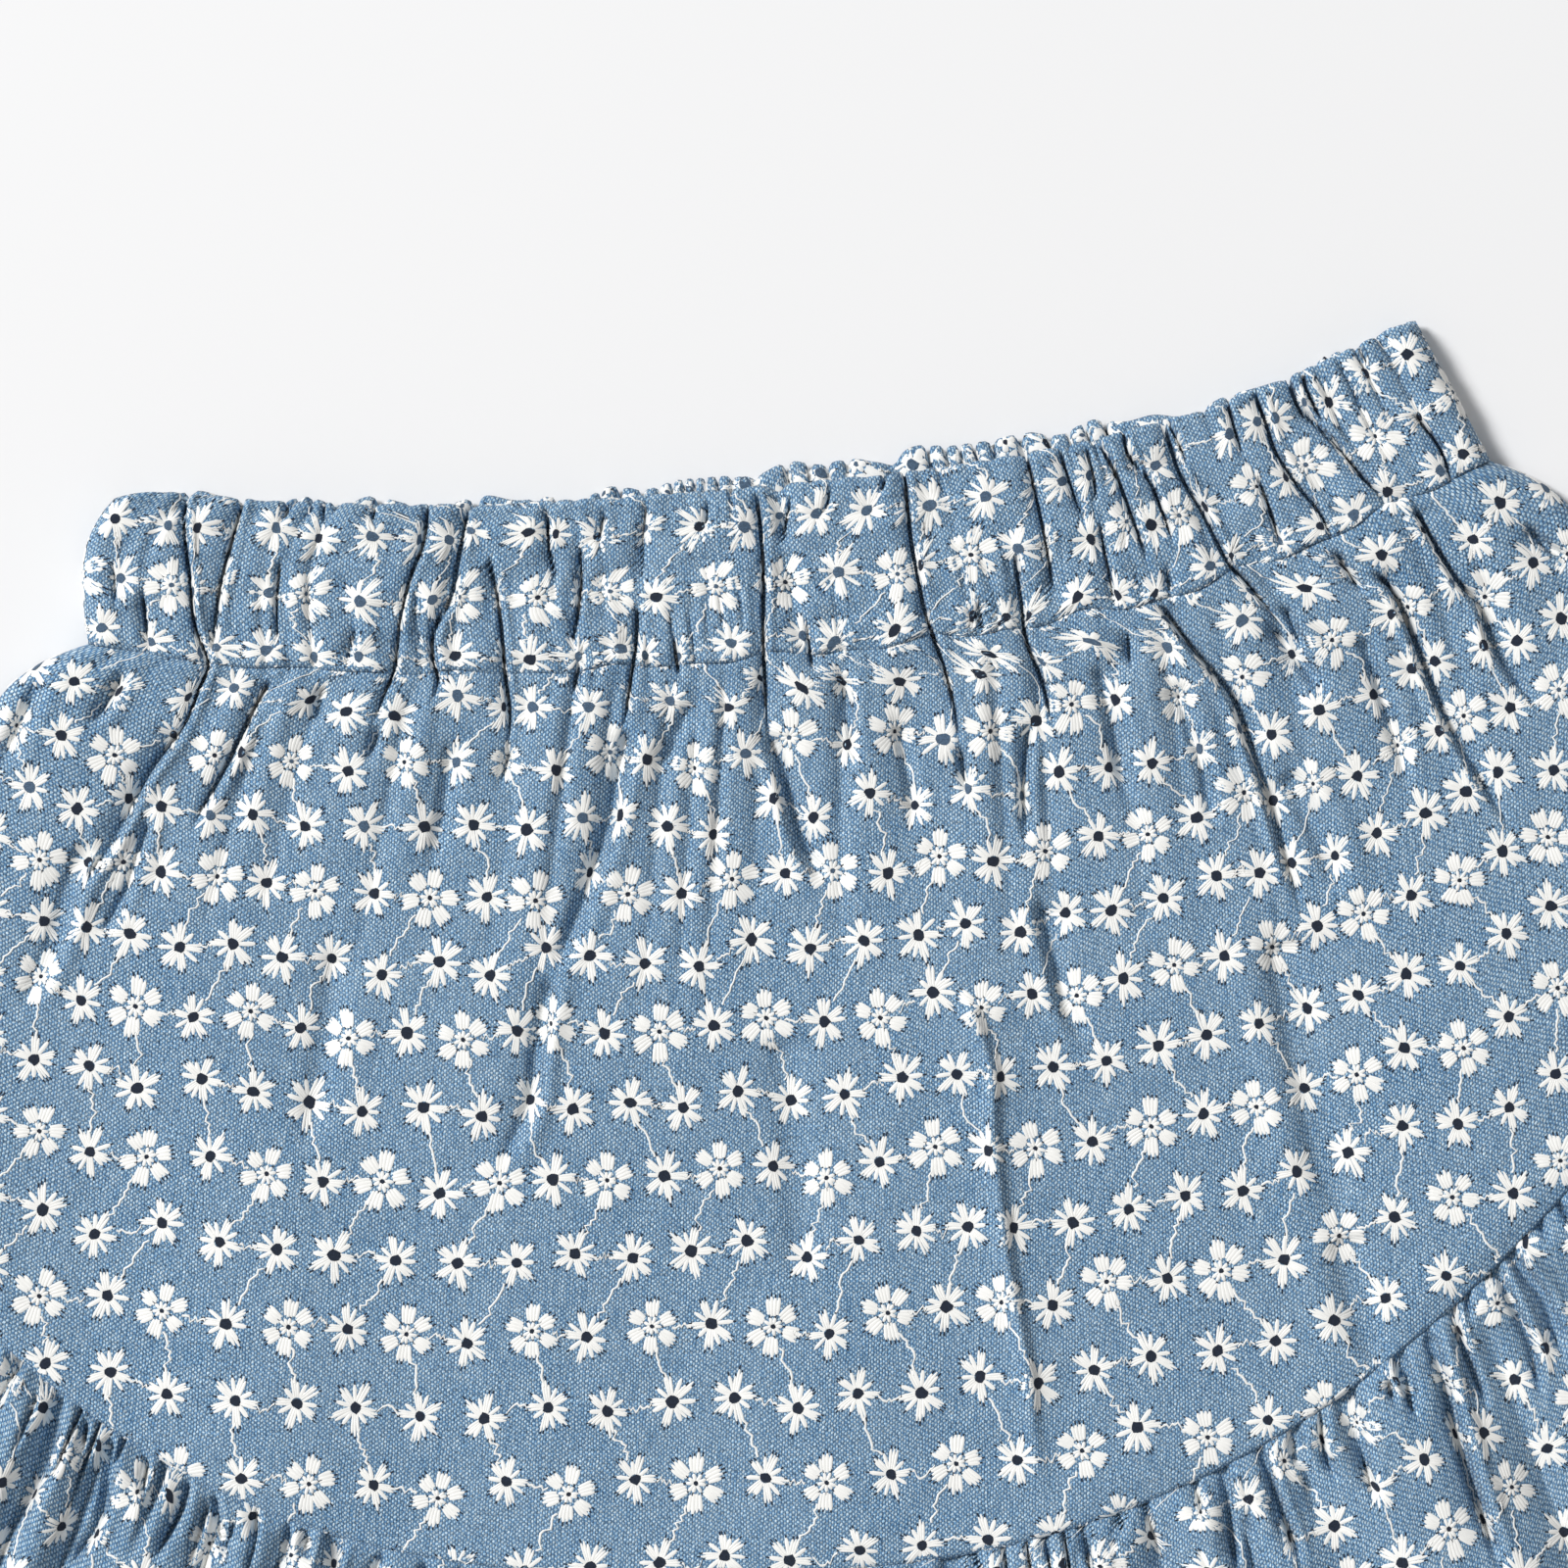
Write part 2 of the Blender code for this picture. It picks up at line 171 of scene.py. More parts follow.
# Creases of the waistband's front. The long ones run on over the waist seam.
BAND_CREASES = creases(
    (1.6, 0.8, 0.0, (-141.3, 140.8), (-140.9, 132.7)),
    (3.0, 0.7, 0.5, (-135.2, 134.6), (-134.2, 125.4)),
    (3.6, 0.8, 0.8, (-125.7, 160.0), (-126.5, 150.0), (-125.0, 136.7), (-124.0, 127.5), (-121.3, 120.2),
     (-123.4, 114.6), (-126.5, 106.9), (-131.3, 101.2)),
    (3.6, 0.9, 0.7, (-113.6, 157.7), (-115.2, 150.6), (-117.5, 141.5), (-119.2, 133.5), (-120.7, 121.0)),
    (2.2, 0.8, 0.4, (-103.8, 157.7), (-105.2, 151.7)),
    (1.8, 0.8, 0.4, (-106.1, 141.5), (-106.7, 132.7), (-106.5, 123.1)),
    (1.6, 0.8, 0.3, (-96.5, 156.5), (-96.9, 150.8)),
    (1.6, 0.8, 0.3, (-85.7, 155.4), (-86.5, 150.4)),
    (2.2, 1.1, 0.4, (-90.0, 127.9), (-91.9, 120.4)),
    (3.4, 0.8, 0.7, (-74.8, 154.6), (-75.7, 145.6), (-78.4, 138.3), (-80.7, 128.3), (-81.7, 119.0),
     (-83.8, 114.0), (-86.5, 106.2)),
    (3.8, 0.9, 0.8, (-66.7, 154.6), (-67.3, 147.3), (-68.6, 140.2), (-69.8, 134.2), (-73.4, 127.1),
     (-73.6, 121.2), (-72.5, 116.7), (-73.8, 111.2)),
    (3.7, 0.8, 0.8, (-61.7, 141.9), (-60.0, 134.8), (-59.0, 127.1), (-58.2, 117.5), (-57.3, 109.8),
     (-57.5, 102.1)),
    (2.6, 0.7, 0.5, (-49.4, 153.1), (-48.8, 143.8), (-47.3, 137.5)),
    (3.2, 0.8, 0.6, (-42.3, 144.2), (-42.1, 136.5), (-42.8, 131.0), (-44.2, 122.9)),
    (2.0, 1.1, 0.4, (-42.5, 120.2), (-43.8, 114.2)),
    (1.6, 0.8, 0.3, (-37.3, 152.9), (-38.2, 147.1)),
    (1.5, 0.9, 0.3, (-28.4, 153.8), (-29.0, 146.0), (-29.2, 136.2)),
    (2.8, 0.9, 0.6, (-30.2, 131.5), (-30.5, 123.8), (-31.5, 117.5), (-32.3, 111.2), (-33.4, 105.8)),
    (2.2, 0.9, 0.4, (-22.3, 124.8), (-21.3, 117.5)),
    (1.5, 0.8, 0.3, (-15.2, 155.0), (-15.7, 148.8)),
    (3.9, 0.8, 0.8, (-4.8, 155.6), (-3.8, 146.7), (-3.4, 138.1), (-3.4, 128.1), (-3.2, 118.1),
     (-2.5, 104.0)),
    (2.2, 0.7, 0.4, (2.2, 155.4), (1.2, 149.4), (0.8, 145.6)),
    (2.0, 0.9, 0.4, (5.8, 127.9), (7.0, 118.8)),
    (1.6, 0.8, 0.3, (10.6, 157.3), (9.8, 152.1)),
    (2.4, 0.8, 0.5, (22.9, 163.1), (21.6, 157.1)),
    (3.9, 0.8, 0.8, (26.4, 161.2), (27.9, 146.7), (29.5, 138.1), (30.8, 131.5), (33.1, 124.8),
     (35.4, 118.1), (37.2, 110.4), (38.3, 102.1)),
    (2.4, 0.9, 0.4, (42.0, 132.5), (42.9, 127.9)),
    (3.7, 0.8, 0.8, (50.0, 142.5), (51.6, 131.5), (52.5, 124.8), (56.0, 116.0), (57.9, 106.7)),
    (3.0, 0.7, 0.6, (52.2, 166.0), (55.4, 151.5), (57.0, 143.3), (58.3, 133.3)),
    (2.6, 0.7, 0.5, (59.5, 165.6), (62.7, 155.4), (65.0, 150.4)),
    (2.2, 0.7, 0.4, (65.2, 165.8), (66.8, 159.2), (67.2, 154.2)),
    (3.4, 0.8, 0.7, (66.8, 170.0), (71.2, 161.0), (75.0, 150.8), (78.5, 141.0)),
    (2.4, 0.7, 0.4, (67.9, 149.2), (69.8, 140.4), (71.4, 131.7)),
    (3.4, 0.7, 0.7, (72.9, 169.6), (74.3, 164.2), (78.5, 159.0), (81.4, 152.1), (83.7, 145.4)),
    (3.9, 0.8, 0.9, (81.2, 173.3), (84.8, 161.0), (89.3, 153.3), (92.5, 146.9), (95.6, 141.2),
     (98.9, 137.9), (103.9, 131.7), (108.9, 125.8)),
    (2.2, 0.7, 0.4, (81.8, 173.8), (83.9, 169.6), (86.4, 162.9)),
    (2.4, 0.7, 0.4, (94.8, 176.9), (96.8, 169.2), (98.3, 164.6)),
    (2.8, 0.8, 0.5, (101.8, 158.8), (103.9, 153.3), (106.4, 145.2)),
    (3.8, 0.8, 0.8, (101.0, 177.5), (103.3, 171.2), (105.2, 165.4), (109.8, 158.3), (114.8, 152.1),
     (117.5, 145.0)),
    (3.7, 0.8, 0.8, (107.7, 182.1), (110.4, 174.4), (113.5, 171.2), (118.7, 166.0), (123.7, 159.8),
     (127.5, 155.8), (129.1, 152.3)),
    (2.2, 0.7, 0.4, (110.6, 183.8), (112.2, 177.5), (115.6, 170.8)),
    (2.6, 0.8, 0.5, (135.2, 172.5), (139.8, 166.7), (141.6, 162.3), (142.5, 157.7)),
    (1.6, 0.8, 0.3, (122.7, 187.9), (125.2, 183.8)),
)
# The long, crisp creases of the upper tier's front
TIER_CRACKS = creases(
    (3.8, 1.1, 1.0, (-127.8, 105.4), (-132.5, 99.6), (-135.5, 94.8), (-140.5, 85.0), (-144.8, 78.1),
     (-149.2, 71.5)),
    (2.8, 1.2, 0.8, (-108.4, 116.1), (-111.3, 111.3), (-117.1, 99.6), (-123.0, 89.0), (-124.9, 84.0)),
    (2.4, 1.3, 0.6, (-134.5, 86.1), (-137.5, 77.3), (-139.4, 71.5), (-144.3, 62.5)),
    (3.6, 1.0, -1.2, (81.6, 131.9), (87.0, 124.6), (92.7, 117.9), (96.8, 112.3), (101.0, 100.2),
     (103.7, 92.3), (106.6, 82.3), (109.3, 73.6), (111.6, 66.9)),
    (3.0, 1.0, -1.0, (127.0, 139.0), (130.8, 135.0), (135.6, 123.8), (140.6, 111.2), (147.9, 97.7),
     (156.8, 83.8)),
    (3.4, 1.0, -1.1, (135.2, 152.7), (138.9, 146.2), (144.1, 137.9), (148.7, 132.9), (151.6, 124.6),
     (156.2, 117.5), (161.8, 110.4)),
)
# The softer creases there
TIER_CREASES = creases(
    (2.2, 2.0, 0.8, (-148.0, 80.8), (-151.1, 72.2), (-154.1, 61.2), (-161.4, 46.7)),
    (1.8, 1.6, 0.6, (-139.4, 118.1), (-142.3, 113.1), (-146.3, 107.3)),
    (1.8, 2.2, 0.6, (104.3, 128.1), (110.4, 121.3), (116.6, 113.6)),
    (1.8, 2.6, 0.8, (107.7, 97.0), (112.0, 89.0), (116.6, 80.2), (119.0, 71.0)),
    (1.6, 2.2, 0.5, (-157.3, 116.2), (-161.5, 107.1), (-165.7, 97.9)),
    (1.8, 1.3, 0.4, (-85.2, 106.2), (-87.3, 100.4)),
    (1.8, 1.2, 0.4, (-57.3, 102.1), (-59.2, 95.0)),
    (2.0, 2.0, 0.7, (-32.3, 105.8), (-36.1, 88.3), (-40.7, 73.8), (-44.8, 62.3), (-49.0, 52.1)),
    (2.2, 1.7, 0.8, (-49.0, 52.1), (-51.5, 38.3), (-53.2, 25.8), (-59.8, 13.3)),
    (2.4, 1.5, -0.8, (-1.9, 104.6), (1.4, 94.6), (4.1, 84.2), (9.8, 72.7)),
    (2.0, 1.1, 0.5, (38.5, 102.1), (39.5, 93.3)),
    (2.0, 1.4, 0.6, (52.7, 106.7), (51.8, 94.6), (52.7, 81.7)),
    (2.2, 1.6, -0.6, (55.6, 68.5), (58.3, 58.1), (61.4, 46.7), (66.0, 40.0)),
    (2.2, 0.8, 0.4, (73.9, 126.9), (74.5, 119.6)),
    (2.0, 1.0, 0.4, (82.2, 140.0), (83.1, 135.0)),
    (1.8, 4.0, -0.7, (106.4, 61.2), (113.1, 30.0), (120.2, -1.7)),
    (1.5, 4.0, -0.5, (120.2, -1.7), (123.9, -17.9), (128.5, -30.4)),
    (2.0, 1.1, 0.4, (107.2, 132.5), (109.3, 127.9), (111.8, 122.9)),
    (2.2, 1.0, 0.5, (118.1, 143.8), (121.0, 139.6), (123.9, 135.0)),
    (2.2, 1.2, 0.5, (158.9, 149.2), (163.1, 145.4), (168.5, 141.7)),
    (0.8, 5.0, 0.0, (1.0, 40.4), (3.5, 13.3), (5.2, -15.8)),
    (0.9, 3.6, 0.3, (-94.4, 58.1), (-97.3, 36.2), (-101.1, 15.0)),
    (1.4, 2.0, -0.3, (-19.4, 111.7), (-21.9, 104.0), (-24.0, 98.3)),
    (1.2, 1.6, 0.3, (13.5, 117.5), (15.2, 107.1), (16.0, 96.7)),
    (1.4, 1.5, 0.3, (-96.9, 115.4), (-98.6, 107.1)),
    (1.0, 2.2, 0.3, (-69.8, 102.9), (-71.5, 88.3), (-74.4, 75.8)),
    (1.1, 1.8, 0.3, (25.0, 107.1), (27.7, 94.6), (28.1, 84.2)),
    (1.3, 1.8, 0.4, (67.7, 119.6), (71.4, 102.9), (73.9, 90.4)),
    (1.2, 1.8, 0.4, (84.3, 115.4), (90.2, 96.7), (92.7, 84.2)),
    (1.3, 1.8, 0.4, (123.9, 125.8), (130.2, 107.1), (134.3, 92.5)),
)
# The one narrow standing ridge, a pinch of cloth that runs down to the lower seam
PINCH = creases(
    (-1.3, 2.3, 0.0, (40.0, 47.7), (44.8, 34.0), (45.2, 20.8), (47.0, 3.7), (48.6, -9.0), (52.4, -28.0),
     (54.0, -43.0), (57.0, -60.4)),
)
# Creases of the ruffle's front where they differ from its even gathers
RUFFLE_CREASES = creases(
    (3.0, 1.0, 0.8, (-158.8, -25.8), (-162.8, -30.8), (-166.9, -37.1)),
    (3.2, 1.8, 0.9, (-153.2, -36.2), (-156.5, -49.2), (-164.0, -65.0)),
    (2.6, 0.8, 0.5, (-147.3, -41.2), (-148.2, -47.1)),
    (3.0, 1.3, 0.7, (-142.3, -45.0), (-144.0, -59.6), (-151.5, -73.3)),
    (2.6, 0.8, 0.5, (-134.4, -49.6), (-135.2, -55.4)),
    (2.8, 1.0, 0.6, (-125.7, -54.2), (-127.8, -61.2), (-132.8, -69.6)),
    (2.6, 0.9, 0.5, (-120.2, -57.1), (-119.4, -62.1), (-117.5, -68.8)),
    (2.4, 0.8, 0.5, (-111.1, -60.2), (-111.9, -65.8)),
    (2.6, 1.0, 0.5, (-104.4, -63.8), (-105.7, -72.1)),
    (2.6, 0.9, 0.6, (39.1, -64.6), (40.6, -67.9), (43.3, -73.3)),
    (2.2, 0.8, 0.4, (48.9, -63.1), (49.8, -67.1)),
    (2.4, 0.8, 0.4, (56.0, -62.9), (57.2, -70.0)),
    (2.8, 0.9, 0.6, (63.9, -62.1), (65.2, -67.1), (66.2, -73.3)),
    (2.4, 0.8, 0.4, (71.8, -60.0), (72.7, -63.8)),
    (2.8, 0.9, 0.6, (77.5, -57.5), (79.3, -64.2), (82.2, -73.3)),
    (2.8, 0.8, 0.5, (88.3, -53.3), (89.8, -60.0)),
    (3.6, 1.1, 0.9, (94.5, -50.0), (95.4, -59.4), (97.2, -73.3)),
    (3.4, 1.1, 0.8, (102.2, -46.7), (105.0, -55.2), (108.1, -63.5), (111.0, -70.4)),
    (2.6, 0.8, 0.4, (108.5, -43.8), (109.8, -50.4)),
    (2.8, 0.9, 0.6, (115.2, -40.2), (115.8, -46.9), (118.1, -53.3)),
    (2.4, 1.2, 0.5, (121.8, -37.1), (124.3, -49.2), (126.8, -58.3)),
    (2.4, 0.8, 0.4, (129.3, -32.1), (130.6, -37.1)),
    (2.8, 0.8, 0.5, (133.1, -28.8), (133.9, -36.0), (135.2, -40.0)),
    (3.8, 1.6, 1.1, (138.3, -22.5), (141.4, -34.2), (143.9, -44.4), (148.1, -57.5), (153.5, -72.9)),
    (3.2, 0.9, 0.7, (143.3, -16.2), (144.5, -22.9), (150.4, -37.5)),
    (2.6, 0.8, 0.5, (146.0, -12.5), (146.8, -17.9)),
    (3.2, 1.1, 0.8, (151.0, -7.1), (154.1, -12.1), (159.3, -23.8), (161.8, -34.6)),
    (3.6, 1.2, 0.9, (154.5, -3.3), (157.7, -8.5), (163.1, -15.6), (166.4, -27.5)),
    (2.6, 0.8, 0.5, (161.2, 2.5), (162.9, -1.7)),
    (2.6, 0.8, 0.5, (165.6, 5.8), (168.5, 0.8)),
)

# The stretches of the ruffle's seam whose creases are given above, in millimetres across the plan
RUFFLE_SHOWN = ((-162.0, -104.0), (38.0, 168.0))

# The repeat of the embroidered cloth, and its yarns
ROW_PITCH = 16.25 * MM
FLOWER_PITCH = 13.54 * MM
YARN_PITCH = 0.60 * MM
WEFT_PITCH = 0.52 * MM

random = np.random.default_rng(11)


# Small functions


def ease(value):
    """A smooth step from 0 to 1."""
    value = np.clip(value, 0.0, 1.0)
    return value * value * (3 - 2 * value)


def soft_floor(value, least, soft=0.6 * MM):
    """The value, kept over a least height without a sharp corner."""
    over = (value - least) / soft
    return least + soft * np.logaddexp(0, over)


def level_at(levels, down):
    downs, heights = zip(*levels)
    return np.interp(down, downs, np.array(heights) * MM)


def by_side(value, sides):
    return np.where(value < 0, sides["left"], sides["right"])


def quarter_round(distance, radius):
    """From 0 at an edge to 1 at the radius, as the side of an oval."""
    inset = np.clip(distance / radius, 0.0, 1.0)
    return np.sqrt(1 - (1 - inset) ** 2)


def waves(x, y, seed, count, longest, shortest):
    """A sum of sine waves in uneven directions, from -1 to 1 or so."""
    pick = np.random.default_rng(seed)
    total = 0.0
    for _ in range(count):
        length = pick.uniform(shortest, longest)
        turn = pick.uniform(0, math.tau)
        phase = pick.uniform(0, math.tau)
        total = total + np.sin((x * math.cos(turn) + y * math.sin(turn)) * math.tau / length + phase)
    return total / math.sqrt(count)


# Places in the plane of the table


def waist_place(across, up, is_back=False):
    inset = by_side(across, END_INSET) * np.maximum(up, 0.0) ** by_side(across, END_POWER)
    along = across * (WAIST_HALF - inset)
    share = along / WAIST_HALF
    sag = WAIST_SAG * (1 - np.abs(share) ** WAIST_SAG_POWER) + WAIST_SKEW * np.sin(math.pi * share)
    away = BAND_HEIGHT * up - sag
    uneven = WAIST_SEAM_WAVE * waves(along, 0 * along, 71, 7, 34 * MM, 11 * MM)
    away = away + uneven * (1 - ease(up / 0.5))
    if is_back:
        spread = (across - BAND_BACK_RISE_ACROSS) / BAND_BACK_RISE_SPREAD
        away = away + BAND_BACK_RISE * np.exp(-(spread**4)) * up
    x = WAIST_CENTRE[0] + along * math.cos(WAIST_TILT) - away * math.sin(WAIST_TILT)
    y = WAIST_CENTRE[1] + along * math.sin(WAIST_TILT) + away * math.cos(WAIST_TILT)
    return x + PLAN_SHIFT[0], y + PLAN_SHIFT[1]


def lower_seam_place(across):
    x = SEAM_MIDDLE + across * SEAM_HALF
    reach = (x - SEAM_LOWEST[0]) / SEAM_RISE_REACH
    y = SEAM_LOWEST[1] + by_side(reach, SEAM_RISE) * np.abs(reach) ** SEAM_RISE_POWER
    return x + PLAN_SHIFT[0], y + PLAN_SHIFT[1]


def seam_run():
    """Places along the lower seam, and how far along it from its middle they are."""
    across = np.linspace(-1, 1, 801)
    x, y = lower_seam_place(across)
    lengths = np.concatenate([[0.0], np.cumsum(np.hypot(np.diff(x), np.diff(y)))])
    return across, lengths - lengths[-1] / 2


def tier_place(across, down):
    x0, y0 = waist_place(across, 0.0 * across)
    x1, y1 = lower_seam_place(across)
    near = np.maximum(down, 0.0) / SIDE_BULGE_DOWN
    bulge = SIDE_BULGE * across * np.abs(across) ** SIDE_BULGE_POWER * near * np.exp(1 - near)
    return x0 + (x1 - x0) * down + bulge, y0 + (y1 - y0) * down


def ruffle_place(across, down):
    x, y = lower_seam_place(across)
    angle = RUFFLE_FAN * across
    reach = RUFFLE_DEPTH * down
    return x + np.sin(angle) * reach, y - np.cos(angle) * reach


def side_round(across, half_width):
    """From 0 at the two side edges of a tier to 1 a little inside them."""
    return quarter_round((1 - np.abs(across)) * half_width, SIDE_ROUND)


def tier_side_round(across, down):
    return side_round(across, WAIST_HALF + (SEAM_HALF - WAIST_HALF) * down)


def ruffle_side_round(across, down):
    return side_round(across, SEAM_HALF + RUFFLE_DEPTH * math.sin(RUFFLE_FAN) * down)


# Heights over the table


def smooth_path(points):
    """A smooth run of places through some points that are in millimetres."""
    ends = np.array(points) * MM
    knots = np.vstack([2 * ends[0] - ends[1], ends, 2 * ends[-1] - ends[-2]])
    part = np.linspace(0, 1, 4, endpoint=False)[:, None]
    spans = []
    for a, b, c, d in zip(knots, knots[1:], knots[2:], knots[3:]):
        bend = part**2 * (2 * a - 5 * b + 4 * c - d) + part**3 * (3 * b - a - 3 * c + d)
        spans.append(b + (part * (c - a) + bend) / 2)
    return np.vstack(spans + [ends[-1:]])


def crease_depth(crease, shape, x, y):
    """What one crease takes from the height at each place, less the lip that stands up beside it."""
    run = smooth_path(crease.points)
    steps = np.diff(run, axis=0)
    lengths = np.hypot(steps[:, 0], steps[:, 1])
    nearest = np.full(x.shape, np.inf)
    side = np.zeros(x.shape)
    along = np.zeros(x.shape)
    start = 0.0
    for place, step, length in zip(run, steps, lengths):
        way_x, way_y = step / length
        part = np.clip((x - place[0]) * way_x + (y - place[1]) * way_y, 0.0, length)
        away_x = x - place[0] - part * way_x
        away_y = y - place[1] - part * way_y
        distance = np.hypot(away_x, away_y)
        closer = distance < nearest
        nearest = np.where(closer, distance, nearest)
        side = np.where(closer, np.sign(way_x * away_y - way_y * away_x), side)
        along = np.where(closer, start + part, along)
        start += length
    fade = ease((along + 1 * MM) / (3 * MM)) * ease((start + 1 * MM - along) / (0.3 * start + 1.5 * MM))
    aside = side * nearest / (crease.half_width * MM)
    valley = np.exp(-((aside / shape.crack) ** 2)) + shape.broad * np.exp(-((aside / 2.8) ** 2))
    lip = np.exp(-(((aside * math.copysign(1.0, crease.lip) - 1.9) / 1.2) ** 2))
    return (crease.depth * valley - shape.lip * abs(crease.lip) * lip) * fade * MM


def creases_taken(group, shape, x, y):
    """What a group of creases takes from the height, each worked out only round itself."""
    taken = np.zeros(x.shape)
    for crease in group:
        places = np.array(crease.points) * MM
        reach = (7 * crease.half_width + 2) * MM
        low, high = places.min(axis=0) - reach, places.max(axis=0) + reach
        near = (x > low[0]) & (x < high[0]) & (y > low[1]) & (y < high[1])
        taken[near] += crease_depth(crease, shape, x[near], y[near])
    return taken


def waist_creases(x, y):
    """The creases of the waistband and the upper tier, which run into each other over the seam."""
    taken = creases_taken(BAND_CREASES, SHARP, x, y) + creases_taken(TIER_CRACKS, PLEAT, x, y)
    return CREASES_DEEPER * (taken + creases_taken(TIER_CREASES + PINCH, SOFT, x, y))


def gather_turn(across, gathers, uneven):
    """Counts the gathers from the left, uneven in width."""
    drift = np.sin(4.1 * across + 0.6) + 0.45 * np.sin(11.7 * across + 2.0)
    drift = drift + 0.22 * np.sin(31.3 * across + 4.0)
    return gathers * (across + 1) / 2 + uneven * drift


def gather_wave(across, gathers, uneven, sharp=0.8):
    """A row of rounded gathers from 0 to 1."""
    return np.abs(np.sin(math.pi * gather_turn(across, gathers, uneven))) ** sharp


def gather_cracks(across, gathers, uneven, shift=0.0, narrow=0.33, steep=2):
    """Narrow cracks of depth 1 between puffs, set off by a share of their spacing."""
    turn = gather_turn(across, gathers, uneven) + shift
    return np.exp(-((np.sin(math.pi * turn) / narrow) ** steep))


def tier_front(across, down):
    x, y = tier_place(across, down)
    taken = waist_creases(x, y)
    near_waist = 1 - ease(down / 0.30)
    gathers = TIER_GATHER_HEIGHT * (gather_wave(across, TIER_GATHERS, 1.5) - 0.5) * near_waist
    folds = TIER_FOLD_HEIGHT * (gather_wave(across, TIER_FOLDS, 1.1) - 0.6) * ease(down / 0.05)
    folds = folds * (1 - ease((down - 0.05) / 0.4))
    height = level_at(TIER_LEVELS, down) + TIER_WAIST_PUFF * near_waist + gathers + folds - taken
    swell = waves(x, y * 0.55, 5, 7, 95 * MM, 38 * MM)
    pucker = waves(x, y, 8, 9, 17 * MM, 9 * MM)
    height = height + (0.55 * swell + 0.12 * pucker) * MM * ease(down / 0.1) * ease((1 - down) / 0.04)
    seam = WAIST_SEAM_LEVEL - SEAM_FOLLOWS * taken - np.maximum(-down, 0.0) * 0.2
    roll = quarter_round(down * (WAIST_CENTRE[1] - SEAM_LOWEST[1]), WAIST_SEAM_ROLL)
    height = soft_floor(seam + (height - seam) * roll, LEAST_FRONT_HEIGHT)
    height = height - (height - SIDE_EDGE_HEIGHT / 2) * (1 - tier_side_round(across, down))
    return np.stack([x, y, height], axis=-1)


def further_creases(seed):
    """Creases like the shown ones for the stretches of the ruffle's seam that the photo doesn't hold."""
    pick = np.random.default_rng(seed)
    across, lengths = seam_run()
    found = []
    place = lengths[0] + pick.uniform(6, 11) * MM
    while place < lengths[-1] - 3 * MM:
        at = np.interp(place, lengths, across)
        place += pick.uniform(6, 11) * MM
        if any(low * MM < lower_seam_place(at)[0] < high * MM for low, high in RUFFLE_SHOWN):
            continue
        run = min(pick.lognormal(2.9, 0.6), 75) * MM / RUFFLE_DEPTH
        drift = pick.normal(0, 0.012)
        downs = np.array([0.0, 0.5, 1.0]) * run + 0.01
        run_x, run_y = ruffle_place(at + drift * np.array([0.0, 0.3, 1.0]), downs)
        points = tuple(zip(run_x / MM, run_y / MM))
        depth = pick.uniform(2.2, 3.6)
        found.append(Crease(depth, pick.uniform(0.8, 1.5), pick.uniform(0.3, 0.9), points))
    return tuple(found)


def ruffle_front(across, down):
    x, y = ruffle_place(across, down)
    taken = creases_taken(RUFFLE_CREASES + further_creases(3), RUFFLED, x, y)
    cracks = gather_cracks(across, RUFFLE_CRACKS, 2.6, 0.0, 0.27, 4)
    cracks = cracks * ease(0.4 + 0.95 * waves(x, y, 61, 5, 60 * MM, 14 * MM))
    fine = 0.3 * MM - RUFFLE_CRACK_DEPTH * cracks * (1 - ease((down - 0.02) / 0.17))
    size = 6.4 + 1.2 * np.clip(waves(x, y, 63, 5, 190 * MM, 60 * MM), -2.0, 0.6)
    wave = gather_wave(across, RUFFLE_GATHERS, 1.3, 0.7 + 0.9 * ease((down - 0.2) / 0.8))
    broad = size * MM * (wave - 0.65) * ease((down - 0.005) / 0.11)
    pucker = RUFFLE_PUCKER * waves(x, y, 21, 8, 30 * MM, 10 * MM)
    out = quarter_round(down, 0.035)
    height = level_at(RUFFLE_LEVELS, down) + fine * (0.45 + 0.55 * out) + broad + pucker * out
    height = height - RUFFLE_DEEPER * taken * (0.6 + 0.4 * out)
    height = soft_floor(height, LEAST_RUFFLE_HEIGHT, 0.35 * MM)
    height = height - (height - SIDE_EDGE_HEIGHT / 2) * (1 - ruffle_side_round(across, down))
    return np.stack([x, y, height], axis=-1)


def back_height(across, ridges, ridge_height, side_rounded):
    """A panel that lies face down: flat on the table between its ridges, and raised at its sides."""
    wave = np.sin(math.tau * ridges * (across + 1) / 2 + 0.8 * np.sin(5.3 * across))
    rise = ridge_height * np.maximum(wave - 0.35, 0.0) / 0.65 * ease((0.95 - np.abs(across)) / 0.06)
    return BACK_HEIGHT + rise + (SIDE_EDGE_HEIGHT / 2 - BACK_HEIGHT) * (1 - side_rounded)


def tier_back(across, down):
    x, y = tier_place(across, down)
    ridge_height = 1.4 * MM * ease(down / 0.08) * (1 - ease(down / 0.3))
    height = back_height(across, 13, ridge_height, tier_side_round(across, down))
    return np.stack([x, y, height], axis=-1)


def ruffle_back(across, down):
    x, y = ruffle_place(across, down)
    height = back_height(across, 24, 1.2 * MM * ease(down / 0.2), ruffle_side_round(across, down))
    return np.stack([x, y, height], axis=-1)


def close_ends(across, height):
    """Brings the front and the back together at the waistband's two ends."""
    middle = BAND_LEVEL / 2
    return middle + (height - middle) * quarter_round((1 - np.abs(across)) * WAIST_HALF, 4.0 * MM)


def round_corners(across, up):
    """Brings the waistband's top edge down towards the two ends."""
    width = by_side(across, CORNER_WIDTH)
    near = np.clip((np.abs(across) - 1 + width) / width, 0.0, 1.0)
    return up * (1 - by_side(across, CORNER_FALL) * near**2)


